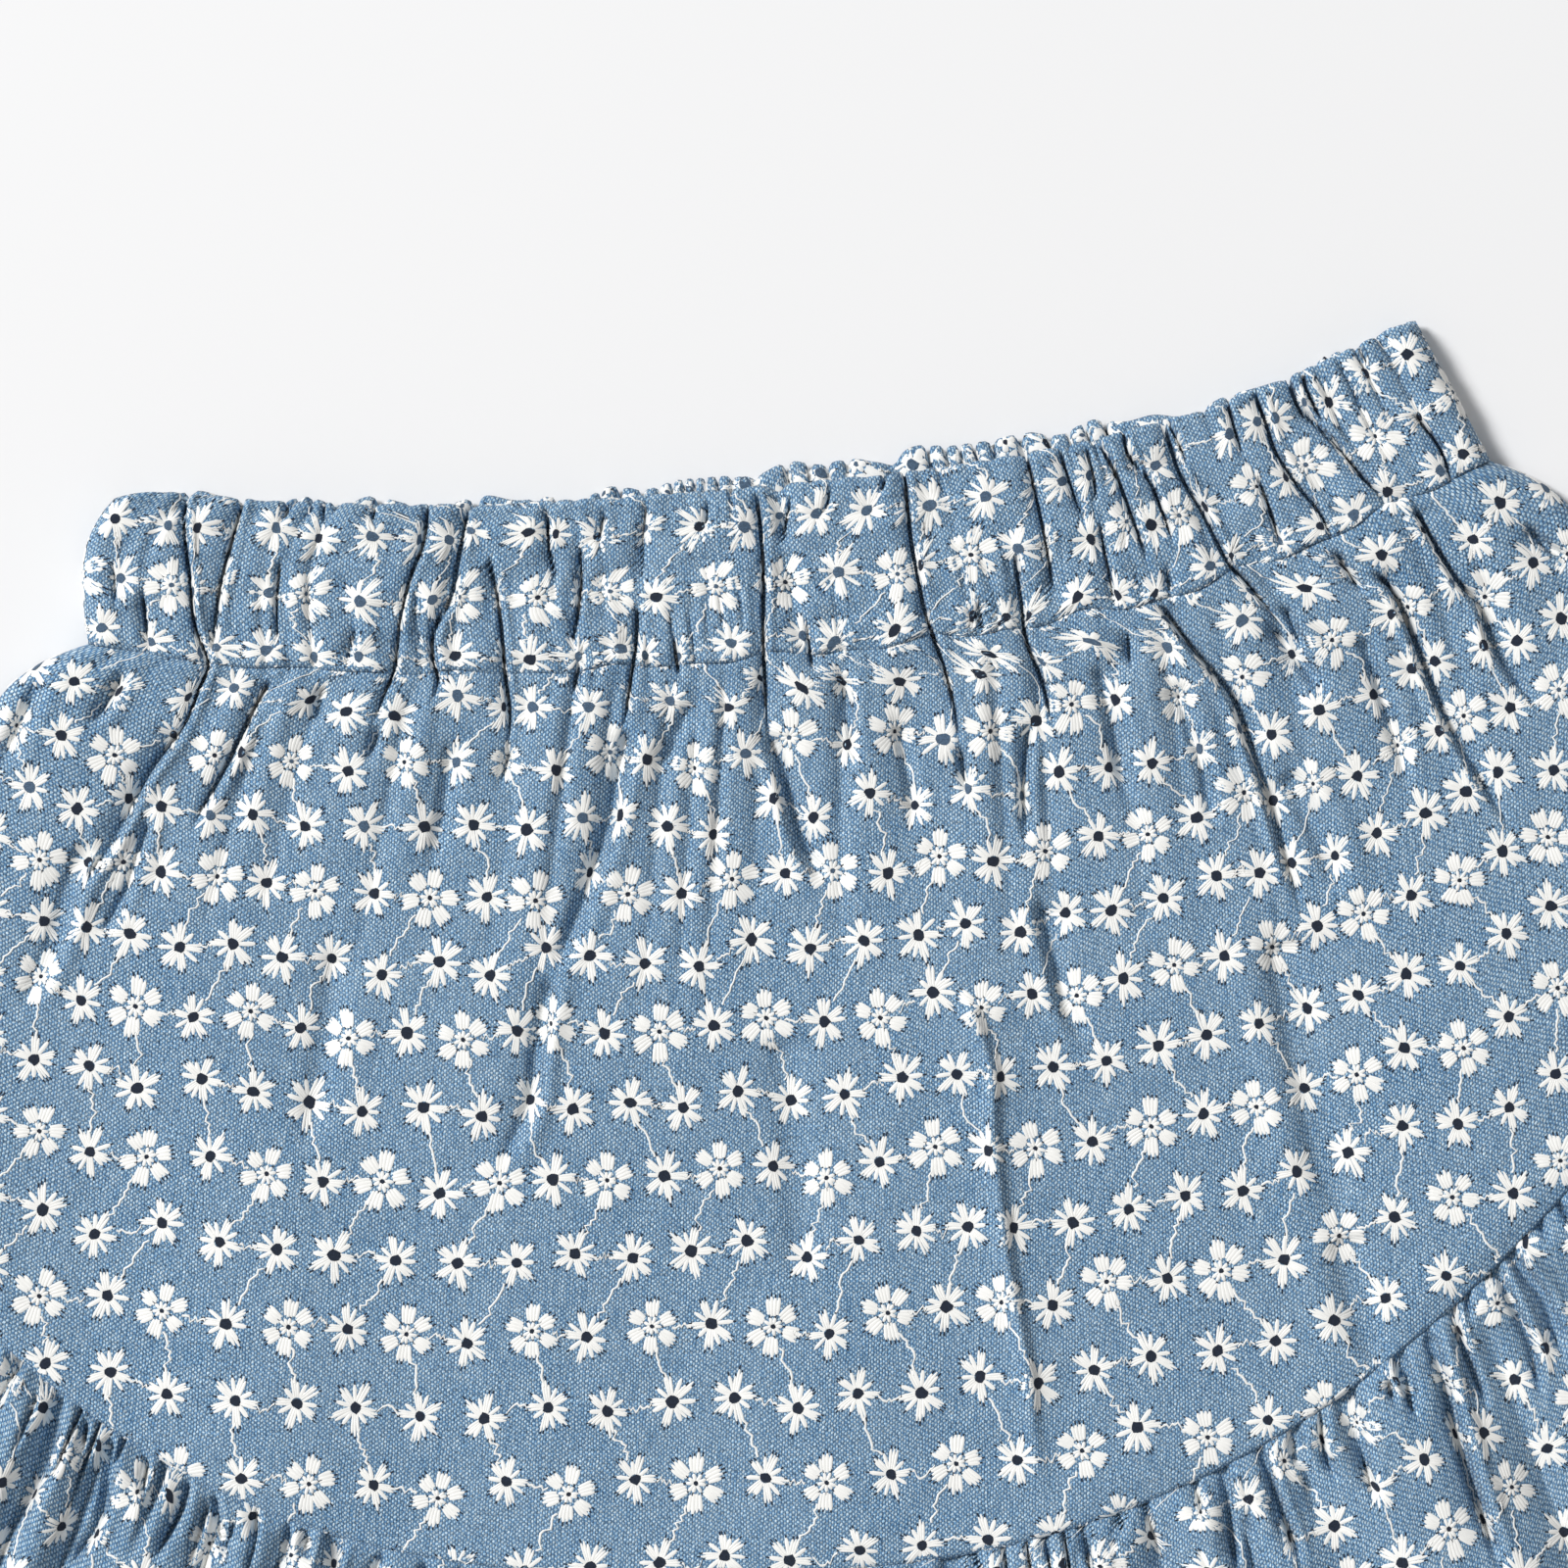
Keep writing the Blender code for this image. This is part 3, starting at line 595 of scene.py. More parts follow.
def up_of(turn):
    """`turn` runs from 0 at the seam over the top edge at 1 and down the inside to 2."""
    return np.where(turn <= 1, turn, 2 - turn)


def fold_over(across, turn, place, outer, inner, moved):
    """The waistband's cloth on its outer face and, over the fold at its top edge, on its inner face.

    `moved` is how far the cloth is drawn up at the top edge.
    """
    x = place[0] - moved * math.sin(WAIST_TILT)
    y = place[1] + moved * math.cos(WAIST_TILT)
    middle = (outer + inner) / 2
    fold = quarter_round((1.0 - up_of(turn)) * BAND_HEIGHT, 1.7 * MM)
    height = middle + (np.where(turn <= 1, outer, inner) - middle) * fold
    return np.stack([x, y, close_ends(across, height)], axis=-1)


def band_front(across, turn):
    up = up_of(turn)
    x, y = waist_place(across, round_corners(across, up))
    taken = waist_creases(x, y)
    full = BAND_LEVEL + BAND_PUFF + 0.25 * MM * waves(x, y * 0.4, 31, 8, 26 * MM, 10 * MM)
    pucker = 0.30 * MM * waves(x * 0.7, y, 37, 9, 13 * MM, 6 * MM)
    gathers = BAND_GATHER_HEIGHT * (gather_wave(across, BAND_GATHERS, 1.3) - 0.85)
    cracks = BAND_CRACK_DEPTH * gather_cracks(across, BAND_CRACKS, 1.9)
    gathers = gathers - cracks * ease(0.5 + waves(x, y, 43, 6, 40 * MM, 20 * MM))
    outer = soft_floor(full + pucker + gathers - taken, BAND_LEAST)
    seam = soft_floor(WAIST_SEAM_LEVEL - SEAM_FOLLOWS * taken, BAND_LEAST)
    outer = seam + (outer - seam) * quarter_round(up * BAND_HEIGHT, WAIST_SEAM_ROLL)
    inner = soft_floor(outer - BAND_WALL, BAND_INNER_LEAST, 0.2 * MM)
    moved = (gathers - 0.32 * taken) * ease((up - 0.7) / 0.3)
    return fold_over(across, turn, (x, y), outer, inner, moved)


def band_back(across, turn):
    up = up_of(turn)
    x, y = waist_place(across, round_corners(across, up), is_back=True)
    uneven = 0.85 + 0.25 * waves(x, y * 0.3, 41, 6, 20 * MM, 7 * MM)
    inner_cracks = gather_cracks(across, BAND_BACK_GATHERS, 2.1) * uneven
    outer_cracks = gather_cracks(across, BAND_BACK_GATHERS, 2.1, 0.5) * uneven
    outer = BAND_BACK_LEVEL + BAND_BACK_OUTER_FOLD * outer_cracks
    inner = BAND_BACK_TOP - BAND_BACK_INNER_FOLD * inner_cracks
    moved = (4.2 * MM * (uneven - 0.8) - 2.6 * MM * inner_cracks) * ease((up - 0.6) / 0.4)
    return fold_over(across, turn, (x, y), outer, inner, moved)


# Panels: a form, measured as flat cloth

# What a panel is made from: its form, how far down the flat cloth each place lies, where the yarns run once
# the folds have taken up the rest of the cloth, and how wide the cloth is. `left_share` is the part of the
# width that lies left of the line s = 0.
Cut = namedtuple("Cut", "form cloth_distance weave_place width left_share")
Panel = namedtuple("Panel", "name points normals s_values t_grid weave")

# The cloth's upright threads stay smooth over this many rows to each side
SMOOTH_ROWS = 10


def normals_of(points):
    along = np.gradient(points, axis=1)
    away = np.gradient(points, axis=0)
    normals = np.cross(away, along)
    return normals / np.maximum(np.linalg.norm(normals, axis=-1, keepdims=True), 1e-12)


def smooth_rows(values, width):
    """Evens out a grid from row to row."""
    kernel = np.hanning(2 * width + 3)[1:-1]
    kernel /= kernel.sum()
    padded = np.pad(values, ((width, width), (0, 0)), mode="edge")
    return sum(weight * padded[i : i + len(values)] for i, weight in enumerate(kernel))


def lay_out(name, cut, columns, downs, face_up):
    """A panel whose columns are evenly spaced in the cloth's own width."""
    fine = np.linspace(-1, 1, 4 * columns)
    across = np.broadcast_to(fine, (len(downs), len(fine)))
    points = cut.form(across, np.broadcast_to(downs[:, None], across.shape))
    lengths = np.linalg.norm(np.diff(points, axis=1), axis=-1)
    measured = np.concatenate([np.zeros((len(downs), 1)), np.cumsum(lengths, axis=1)], axis=1)
    measured = smooth_rows(measured / measured[:, -1:], SMOOTH_ROWS)
    shares = np.linspace(0, 1, columns)
    placed = np.stack([np.interp(shares, row, fine) for row in measured])
    down = np.broadcast_to(downs[:, None], placed.shape)
    points = cut.form(placed, down)
    normals = normals_of(points) * (1 if face_up else -1)
    s_values = (shares - cut.left_share) * cut.width
    weave = np.stack(cut.weave_place(placed, down), axis=-1)
    return Panel(name, points, normals, s_values, cut.cloth_distance(placed, down), weave)


def sample(panel, s, t):
    """Points and normals of a panel at places of its flat cloth."""
    rows, columns = panel.t_grid.shape
    first, last = panel.s_values[0], panel.s_values[-1]
    column = np.clip((s - first) / (last - first) * (columns - 1), 0, columns - 1.001)
    left = column.astype(int)
    part = column - left

    def t_at(row):
        return panel.t_grid[row, left] * (1 - part) + panel.t_grid[row, left + 1] * part

    upper = np.zeros(left.shape, int)
    lower = np.full(left.shape, rows - 1)
    for _ in range(math.ceil(math.log2(rows))):
        between = (upper + lower) // 2
        above = t_at(between) <= t
        upper = np.where(above, between, upper)
        lower = np.where(above, lower, between)
    upper = np.minimum(upper, rows - 2)
    step = np.clip((t - t_at(upper)) / (t_at(upper + 1) - t_at(upper)), 0.0, 1.0)

    def blend(grid):
        top = grid[upper, left] * (1 - part[..., None]) + grid[upper, left + 1] * part[..., None]
        bottom = grid[upper + 1, left] * (1 - part[..., None]) + grid[upper + 1, left + 1] * part[..., None]
        return top * (1 - step[..., None]) + bottom * step[..., None]

    normals = blend(panel.normals)
    return blend(panel.points), normals / np.maximum(np.linalg.norm(normals, axis=-1, keepdims=True), 1e-9)


def edge_t(panel, s):
    """How far down the cloth goes at each s."""
    return np.interp(s, panel.s_values, panel.t_grid[-1])


# Meshes


def mesh_object(name, points, faces, uvs, materials, face_materials=None):
    """A mesh from its points, its faces of equal size, and a UV for each point."""
    mesh = bpy.data.meshes.new(name)
    size = faces.shape[1]
    mesh.vertices.add(len(points))
    mesh.vertices.foreach_set("co", np.ascontiguousarray(points, np.float32).ravel())
    mesh.loops.add(faces.size)
    mesh.loops.foreach_set("vertex_index", np.ascontiguousarray(faces, np.int32).ravel())
    mesh.polygons.add(len(faces))
    mesh.polygons.foreach_set("loop_start", np.arange(0, faces.size, size, dtype=np.int32))
    mesh.update(calc_edges=True)
    layer = mesh.uv_layers.new(name="cloth")
    layer.data.foreach_set("uv", np.ascontiguousarray(uvs[faces.ravel()], np.float32).ravel())
    for material in materials:
        mesh.materials.append(material)
    if face_materials is not None:
        mesh.polygons.foreach_set("material_index", np.ascontiguousarray(face_materials, np.int32))
    mesh.polygons.foreach_set("use_smooth", np.ones(len(faces), bool))
    mesh.validate()
    obj = bpy.data.objects.new(name, mesh)
    bpy.context.scene.collection.objects.link(obj)
    return obj


def grid_faces(rows, columns, flip=False):
    index = np.arange(rows * columns).reshape(rows, columns)
    corners = [index[:-1, :-1], index[1:, :-1], index[1:, 1:], index[:-1, 1:]]
    if flip:
        corners = corners[::-1]
    return np.stack([corner.ravel() for corner in corners], axis=1)


def shell(panel, face_up):
    """The cloth of a panel, as a thin sheet that shows its outer face."""
    rows, columns = panel.t_grid.shape
    faces = grid_faces(rows, columns, flip=not face_up)
    return mesh_object(panel.name, panel.points.reshape(-1, 3), faces, panel.weave.reshape(-1, 2), [CLOTH])


# Materials


class Nodes:
    """Short names for building a material's nodes."""

    def __init__(self, name, **surface):
        self.material = bpy.data.materials.new(name)
        self.material.use_nodes = True
        self.tree = self.material.node_tree
        self.shader = self.tree.nodes["Principled BSDF"]
        self.uv = self.add("ShaderNodeUVMap", uv_map="cloth").outputs[0]
        for key, value in surface.items():
            self.shader.inputs[key.replace("_", " ")].default_value = value

    def add(self, kind, **settings):
        node = self.tree.nodes.new(kind)
        for key, value in settings.items():
            setattr(node, key, value)
        return node

    def link(self, source, target):
        self.tree.links.new(source, target)

    def put(self, value, socket):
        if hasattr(value, "links"):
            self.link(value, socket)
        else:
            socket.default_value = value

    def math(self, operation, first, second=0.0):
        node = self.add("ShaderNodeMath", operation=operation)
        self.put(first, node.inputs[0])
        self.put(second, node.inputs[1])
        return node.outputs[0]

    def plus(self, first, second):
        return self.math("ADD", first, second)

    def times(self, first, second):
        return self.math("MULTIPLY", first, second)

    def mix(self, factor, first, second):
        node = self.add("ShaderNodeMix", data_type="RGBA")
        self.put(factor, node.inputs["Factor"])
        self.put(first, node.inputs[6])
        self.put(second, node.inputs[7])
        return node.outputs[2]

    def shade(self, colour, factor):
        """The colour, made darker or lighter by a factor."""
        node = self.add("ShaderNodeVectorMath", operation="SCALE")
        self.put(colour, node.inputs[0])
        self.put(factor, node.inputs["Scale"])
        return node.outputs[0]

    def remap(self, value, low, high, to_low=0.0, to_high=1.0):
        node = self.add("ShaderNodeMapRange")
        for socket, setting in zip(node.inputs, (value, low, high, to_low, to_high)):
            self.put(setting, socket)
        return node.outputs[0]

    def noise(self, scale, detail, vector=None):
        node = self.add("ShaderNodeTexNoise")
        self.link(self.uv if vector is None else vector, node.inputs["Vector"])
        node.inputs["Scale"].default_value = scale
        node.inputs["Detail"].default_value = detail
        return node.outputs["Fac"]

    def stretched_noise(self, across, along, detail):
        """Noise with one scale across the cloth and another along it."""
        mapping = self.add("ShaderNodeMapping")
        self.link(self.uv, mapping.inputs["Vector"])
        mapping.inputs["Scale"].default_value = (across, along, 1.0)
        return self.noise(1.0, detail, mapping.outputs[0])

    def paint(self, colour, shown):
        """The surface's colour, and the plain one that stands for it in a viewport."""
        self.link(colour, self.shader.inputs["Base Color"])
        self.material.diffuse_color = shown

    def bump(self, height, strength, distance):
        node = self.add("ShaderNodeBump")
        node.inputs["Strength"].default_value = strength
        node.inputs["Distance"].default_value = distance
        self.link(height, node.inputs["Height"])
        self.link(node.outputs[0], self.shader.inputs["Normal"])


def shaded(colour, factor):
    """A fixed colour, made darker or lighter by a factor."""
    return (*(part * factor for part in colour[:3]), 1.0)


def woven_cloth(name):
    """Plain weave: pale yarns up the cloth over blue ones across it, with dark gaps where they cross."""
    make = Nodes(name, Roughness=0.86, Specular_IOR_Level=0.25, Sheen_Weight=0.12, Sheen_Roughness=0.5)
    split = make.add("ShaderNodeSeparateXYZ")
    make.link(make.uv, split.inputs[0])
    # The yarns run unevenly, and their edges are fuzzy
    wobble = make.noise(260.0, 1.0)
    fuzz = make.times(make.noise(1300.0, 1.0), 0.9)
    across = make.plus(make.times(split.outputs[0], 1 / YARN_PITCH), make.times(wobble, 1.3))
    across = make.plus(across, fuzz)
    along = make.plus(make.times(split.outputs[1], 1 / WEFT_PITCH), wobble)
    along = make.plus(along, make.times(fuzz, 1.2))
    wave_across = make.math("SINE", make.times(across, math.pi))
    wave_along = make.math("SINE", make.times(along, math.pi))
    is_up = make.remap(make.times(wave_across, wave_along), -0.15, 0.15)
    up_yarn = make.math("ABSOLUTE", wave_across)
    cross_yarn = make.math("ABSOLUTE", wave_along)
    # Each yarn is a little lighter or darker along its length
    slub = make.stretched_noise(1 / YARN_PITCH, 180.0, 1.0)
    pale = make.mix(make.remap(slub, 0.3, 0.7), (0.29, 0.47, 0.63, 1.0), (0.59, 0.72, 0.80, 1.0))
    blue = make.mix(make.remap(slub, 0.35, 0.65), (0.075, 0.195, 0.375, 1.0), (0.14, 0.29, 0.475, 1.0))
    # Dark gaps, streaks of a few yarns' width, and faint pale clouds
    gap = make.remap(make.times(up_yarn, make.remap(cross_yarn, 0.0, 1.0, 0.45, 1.0)), 0.08, 0.5)
    colour = make.mix(gap, (0.02, 0.055, 0.125, 1.0), make.mix(is_up, blue, pale))
    streak = make.stretched_noise(2700.0, 1200.0, 2.0)
    colour = make.shade(colour, make.remap(streak, 0.30, 0.70, 0.47, 1.42))
    cloud = make.remap(make.noise(34.0, 3.0), 0.3, 0.7)
    colour = make.mix(make.times(cloud, 0.10), colour, (0.38, 0.50, 0.60, 1.0))
    make.paint(colour, (0.11, 0.25, 0.44, 1.0))
    height = make.math("MAXIMUM", make.times(is_up, up_yarn), make.times(cross_yarn, 0.6))
    make.bump(height, 0.55, 0.18 * MM)
    return make.material


def thread(name, colour):
    """Glossy embroidery thread: fine fibres run along each stitch."""
    make = Nodes(name, Roughness=0.55, Sheen_Weight=0.15)
    fibre = make.stretched_noise(5200.0, 520.0, 2.0)
    make.paint(make.mix(make.remap(fibre, 0.3, 0.7), shaded(colour, 0.90), colour), colour)
    make.bump(fibre, 0.35, 0.1 * MM)
    return make.material


# A hole's colour is painted shade: the dark inside of a hole, where the layer beneath lies in shadow
def painted_shade_hole(name, colour):
    make = Nodes(name, Roughness=0.95)
    grain = make.noise(2400.0, 1.0)
    make.paint(make.mix(make.remap(grain, 0.35, 0.65), colour, shaded(colour, 1.8)), colour)
    return make.material


CLOTH = woven_cloth("woven_blue_cloth")
# The embroidery's materials: the thread, holes painted dark as the shade inside them, and holes that show
# the cloth beneath, painted in its blue darkened as shade
SEWN = (
    thread("cream_thread", (0.94, 0.935, 0.905, 1.0)),
    painted_shade_hole("eyelet_painted_shade", (0.008, 0.013, 0.025, 1.0)),
    painted_shade_hole("eyelet_cloth_in_painted_shade", (0.048, 0.080, 0.125, 1.0)),
)
# The places of the first two in that list
THREAD_PAINT = 0
# The hole materials are painted shade
HOLE_SHADE_PAINT = 1


# Embroidery

Petal = namedtuple("Petal", "angle reach width stitches")

# An eyelet daisy: five long petals and five short spokes round an open hole, one petal towards its partner
DAISY_HOLE = 1.30 * MM
DAISY_PETALS = (
    Petal(180, 5.2 * MM, 2.0 * MM, 3),
    Petal(103, 5.9 * MM, 2.1 * MM, 3),
    Petal(41, 5.5 * MM, 2.1 * MM, 3),
    Petal(320, 5.5 * MM, 2.1 * MM, 3),
    Petal(258, 5.9 * MM, 2.1 * MM, 3),
    Petal(72, 4.9 * MM, 1.0 * MM, 1),
    Petal(142, 4.6 * MM, 1.0 * MM, 1),
    Petal(219, 4.7 * MM, 1.0 * MM, 1),
    Petal(289, 4.8 * MM, 1.0 * MM, 1),
    Petal(1, 4.6 * MM, 1.1 * MM, 1),
)
# The larger flower: six broad petals set out from a ring of short stitches with a pinhole in it
BLOSSOM_INNER = 2.1 * MM
BLOSSOM_PINHOLE = 0.5 * MM
BLOSSOM_SPOKES = 9
# The short stitches of the ring are so wide together
BLOSSOM_RING = 6.4 * MM
SPOKE_START = 0.45 * MM
SPOKE_HEIGHT = 0.26 * MM
BLOSSOM_PETALS = (
    Petal(92, 6.3 * MM, 3.3 * MM, 4),
    Petal(39, 6.0 * MM, 3.3 * MM, 4),
    Petal(336, 6.0 * MM, 3.3 * MM, 4),
    Petal(271, 6.5 * MM, 3.3 * MM, 4),
    Petal(219, 6.2 * MM, 3.3 * MM, 4),
    Petal(156, 6.0 * MM, 3.3 * MM, 4),
)


def petal_stitches(petals, detail, loose):
    """For each stitch in turn: its petal, the petal's angle, its place across the petal, and its width."""
    for petal in petals:
        middle = math.radians(petal.angle + random.normal(0, loose))
        count = max(1, round(petal.stitches * detail))
        for i in range(count):
            yield petal, middle, (i + 0.5) / count - 0.5, petal.width / count


def aim(angle, along, aside=0.0):
    """A place that lies so far along a direction and aside of it."""
    cos, sin = math.cos(angle), math.sin(angle)
    return cos * along - sin * aside, sin * along + cos * aside


def daisy_stitches(detail):
    """Rows of x and y at the root, x and y at the tip, width at the root, width at the tip, height."""
    rows = []
    for petal, middle, share, thick in petal_stitches(DAISY_PETALS, detail, 4):
        share += random.normal(0, 0.03)
        root_angle = middle + share * petal.width * 0.66 / DAISY_HOLE
        tip_angle = middle + share * petal.width * 1.05 / petal.reach
        reach = petal.reach * (1 - 0.24 * abs(share)) * random.uniform(0.82, 1.06)
        thick *= random.uniform(0.88, 1.10)
        height = random.uniform(0.13, 0.22) * MM
        root = aim(root_angle, DAISY_HOLE * 0.86)
        rows.append((*root, *aim(tip_angle, reach), thick * 0.85, thick * 0.92, height))
    return rows


def blossom_stitches(detail):
    rows = []
    for petal, middle, share, thick in petal_stitches(BLOSSOM_PETALS, detail, 3):
        reach = petal.reach * (1 - 0.45 * share**2) * random.uniform(0.88, 1.04)
        thick *= random.uniform(1.00, 1.20)
        height = random.uniform(0.14, 0.24) * MM
        root = aim(middle, BLOSSOM_INNER * (1.02 + 0.9 * share**2), share * petal.width * 0.72)
        tip = aim(middle, reach, share * petal.width * 1.02)
        rows.append((*root, *tip, thick * 0.8, thick, height))
    spokes = round(BLOSSOM_SPOKES * max(detail, 0.6))
    width = BLOSSOM_RING / spokes
    for i in range(spokes):
        angle = math.tau * (i + random.uniform(-0.2, 0.2)) / spokes
        reach = random.uniform(1.85, 2.35) * MM
        root = aim(angle, SPOKE_START)
        rows.append((*root, *aim(angle, reach), width, width, SPOKE_HEIGHT))
    return rows


def local_frame(panel, s, t):
    """How the flat cloth lies round each place: its shrinking along s and t, and the angle between them."""
    reach = 5 * MM
    least = 0.1 * MM
    steps = np.array([-1.0, -0.6, -0.2, 0.2, 0.6, 1.0]) * reach
    t = np.clip(t, panel.t_grid[0].max() + reach, edge_t(panel, s) - reach)
    along, _ = sample(panel, s[:, None] + steps, t[:, None] + 0 * steps)
    away, _ = sample(panel, s[:, None] + 0 * steps, t[:, None] + steps)
    wide, tall = (np.linalg.norm(np.diff(run, axis=1), axis=-1).sum(axis=1) for run in (along, away))
    wide, tall = np.maximum(wide, least), np.maximum(tall, least)
    way_s, way_t = ((run[:, -1] - run[:, 0])[:, :2] for run in (along, away))
    lengths = np.linalg.norm(way_s, axis=1) * np.linalg.norm(way_t, axis=1)
    cosine = (way_s * way_t).sum(axis=1) / np.maximum(lengths, least**2)
    angle = np.arccos(np.clip(cosine, -0.7, 0.7))
    return np.clip(2 * reach / wide, 0.8, 1.9), np.clip(2 * reach / tall, 0.9, 1.6), angle


# The embroidery lies this far over the cloth, and may reach this far over its edges
SEWN_LIFT = 0.05 * MM
SEWN_OVER = 0.2 * MM
# Along a stitch: where its points are, and the shares of its width and its height there
STITCH_STATIONS = np.array([0.0, 0.3, 0.75, 1.0])
STITCH_WIDTHS = np.array([0.75, 1.0, 1.0, 0.42])
STITCH_LIFTS = np.array([0.35, 1.0, 0.9, 0.1])
# A strip of thread has three points across, of which the middle one stands up
ACROSS = np.array([-1.0, 0.0, 1.0])
RIDGE = np.array([0.0, 1.0, 0.0])
# A thread between two flowers starts and ends this far from their middles
THREAD_INSET = 4.6 * MM
THREAD_STATIONS = np.linspace(0, 1, 11)
THREAD_HALF = 0.26 * MM
THREAD_HEIGHT = 0.22 * MM
EYELET_CORNERS = 10
# The cloth beneath shows in some eyelets down to here, and in fewer over the next stretch
SHOWS_DOWN_TO = 40 * MM
SHOWS_FADE = 30 * MM
# A needle hole's corners, along its stitch and aside of it
NEEDLE_HALF = 0.15 * MM
NEEDLE_ALONG = np.array([-0.2, 1.0, 1.0, -0.2])
NEEDLE_ASIDE = np.array([-1.0, -1.0, 1.0, 1.0])


def strip_faces(stations):
    """The faces of a strip that is three points wide."""
    starts = 3 * np.arange(stations)[:-1, None, None]
    return (starts + np.array([(0, 3, 4, 1), (1, 4, 5, 2)])).reshape(-1, 4)


def ribbon(x, y, side_x, side_y, half):
    """Three points across a strip, at each of its stations."""
    x = x[..., None] + (side_x * half)[..., None] * ACROSS
    y = y[..., None] + (side_y * half)[..., None] * ACROSS
    return x, y


class Sewing:
    """The thread and the holes of one panel, collected as places on its flat cloth."""

    def __init__(self, panel, flowers):
        s, t, kind, mirrored, size = (np.array(column) for column in zip(*flowers))
        self.panel = panel
        self.s, self.t, self.size = s, t, size
        self.is_daisy = kind == "daisy"
        self.mirror = np.where(mirrored, -1.0, 1.0)
        self.wide, self.tall, self.angle = local_frame(panel, s, t)
        # Each flower keeps its own shape where the rows lean against the columns
        self.turn = random.normal(0, 0.05, len(s)) + (math.pi / 2 - self.angle) / 2
        self.parts = []
        self.faces = []
        self.paint = []
        self.total = 0

    def to_cloth(self, x, y, owner):
        """Places round the middles of the flowers that own them, as places on the flat cloth."""
        owner = owner.reshape(-1, *[1] * (x.ndim - 1))
        x = x * self.mirror[owner] * self.size[owner]
        y = y * self.size[owner]
        cos, sin = np.cos(self.turn[owner]), np.sin(self.turn[owner])
        x, y = x * cos - y * sin, x * sin + y * cos
        lean_cos, lean_sin = np.cos(self.angle[owner]), np.sin(self.angle[owner])
        s = self.s[owner] + (x + y * lean_cos / lean_sin) * self.wide[owner]
        return s, self.t[owner] - y / lean_sin * self.tall[owner]

    def add(self, s, t, rise, faces, paint, u=None, v=None):
        """Adds a shape for each row of places, all with the same faces, so high over the cloth."""
        columns = (s, t, rise + SEWN_LIFT, s if u is None else u, t if v is None else v)
        self.parts.append([np.broadcast_to(column, s.shape).ravel() for column in columns])
        first = self.total + np.arange(len(s)) * s[0].size
        self.faces.append((first[:, None, None] + faces).reshape(-1, 4))
        self.paint.append(np.repeat(np.broadcast_to(paint, len(s)), len(faces)))
        self.total += s.size

    def mesh(self, name):
        """One mesh on the panel, less the faces that reach past the cloth's edges."""
        s, t, rise, u, v = (np.concatenate(column) for column in zip(*self.parts))
        points, normals = sample(self.panel, s, t)
        points = points + normals * rise[:, None]
        faces, paint = np.concatenate(self.faces), np.concatenate(self.paint)
        s_values = self.panel.s_values
        inside = (s >= s_values[0] - SEWN_OVER) & (s <= s_values[-1] + SEWN_OVER)
        inside &= (t >= self.panel.t_grid.min() - SEWN_OVER) & (t <= edge_t(self.panel, s) + SEWN_OVER)
        kept = inside[faces].all(axis=1)
        used = np.unique(faces[kept])
        renumber = np.zeros(len(points), int)
        renumber[used] = np.arange(len(used))
        uvs = np.stack([u, v], axis=1)
        return mesh_object(name, points[used], renumber[faces[kept]], uvs[used], SEWN, paint[kept])


def sew_stitches(sewing, stitches, owner):
    x0, y0, x1, y1, width0, width1, height = stitches.T[..., None]
    run = np.hypot(x1 - x0, y1 - y0)
    half = (width0 + (width1 - width0) * STITCH_STATIONS) * STITCH_WIDTHS / 2
    x = x0 + (x1 - x0) * STITCH_STATIONS
    y = y0 + (y1 - y0) * STITCH_STATIONS
    x, y = ribbon(x, y, -(y1 - y0) / run, (x1 - x0) / run, half)
    s, t = sewing.to_cloth(x, y, owner)
    rise = (height * STITCH_LIFTS)[..., None] * RIDGE
    u = ACROSS * 0.3 * MM + random.uniform(0, 1, (len(stitches), 1, 1))
    v = (STITCH_STATIONS * run)[..., None] + random.uniform(0, 1, (len(stitches), 1, 1))
    sewing.add(s, t, rise, strip_faces(len(STITCH_STATIONS)), THREAD_PAINT, u, v)


def sew_threads(sewing, links):
    """The threads that run from flower to flower, which sway a little."""
    s0, t0, s1, t1 = np.array([(a.s, a.t, b.s, b.t) for a, b in links]).T[..., None]
    way_s, way_t = s1 - s0, t1 - t0
    length = np.hypot(way_s, way_t)
    inset = THREAD_INSET / length
    part = inset + (1 - 2 * inset) * THREAD_STATIONS
    side_s, side_t = -way_t / length, way_s / length
    sway = random.normal(0, 0.42 * MM, (len(links), len(THREAD_STATIONS)))
    sway = sway + random.normal(0, 0.8 * MM, (len(links), 1)) * np.sin(math.pi * THREAD_STATIONS)
    sway[:, [0, -1]] = 0
    s = s0 + way_s * part + side_s * sway
    t = t0 + way_t * part + side_t * sway
    s, t = ribbon(s, t, side_s, side_t, THREAD_HALF)
    u = ACROSS * 0.2 * MM
    v = (length * THREAD_STATIONS)[..., None] + random.uniform(0, 1, (len(links), 1, 1))
    sewing.add(s, t, THREAD_HEIGHT * RIDGE, strip_faces(len(THREAD_STATIONS)), THREAD_PAINT, u, v)


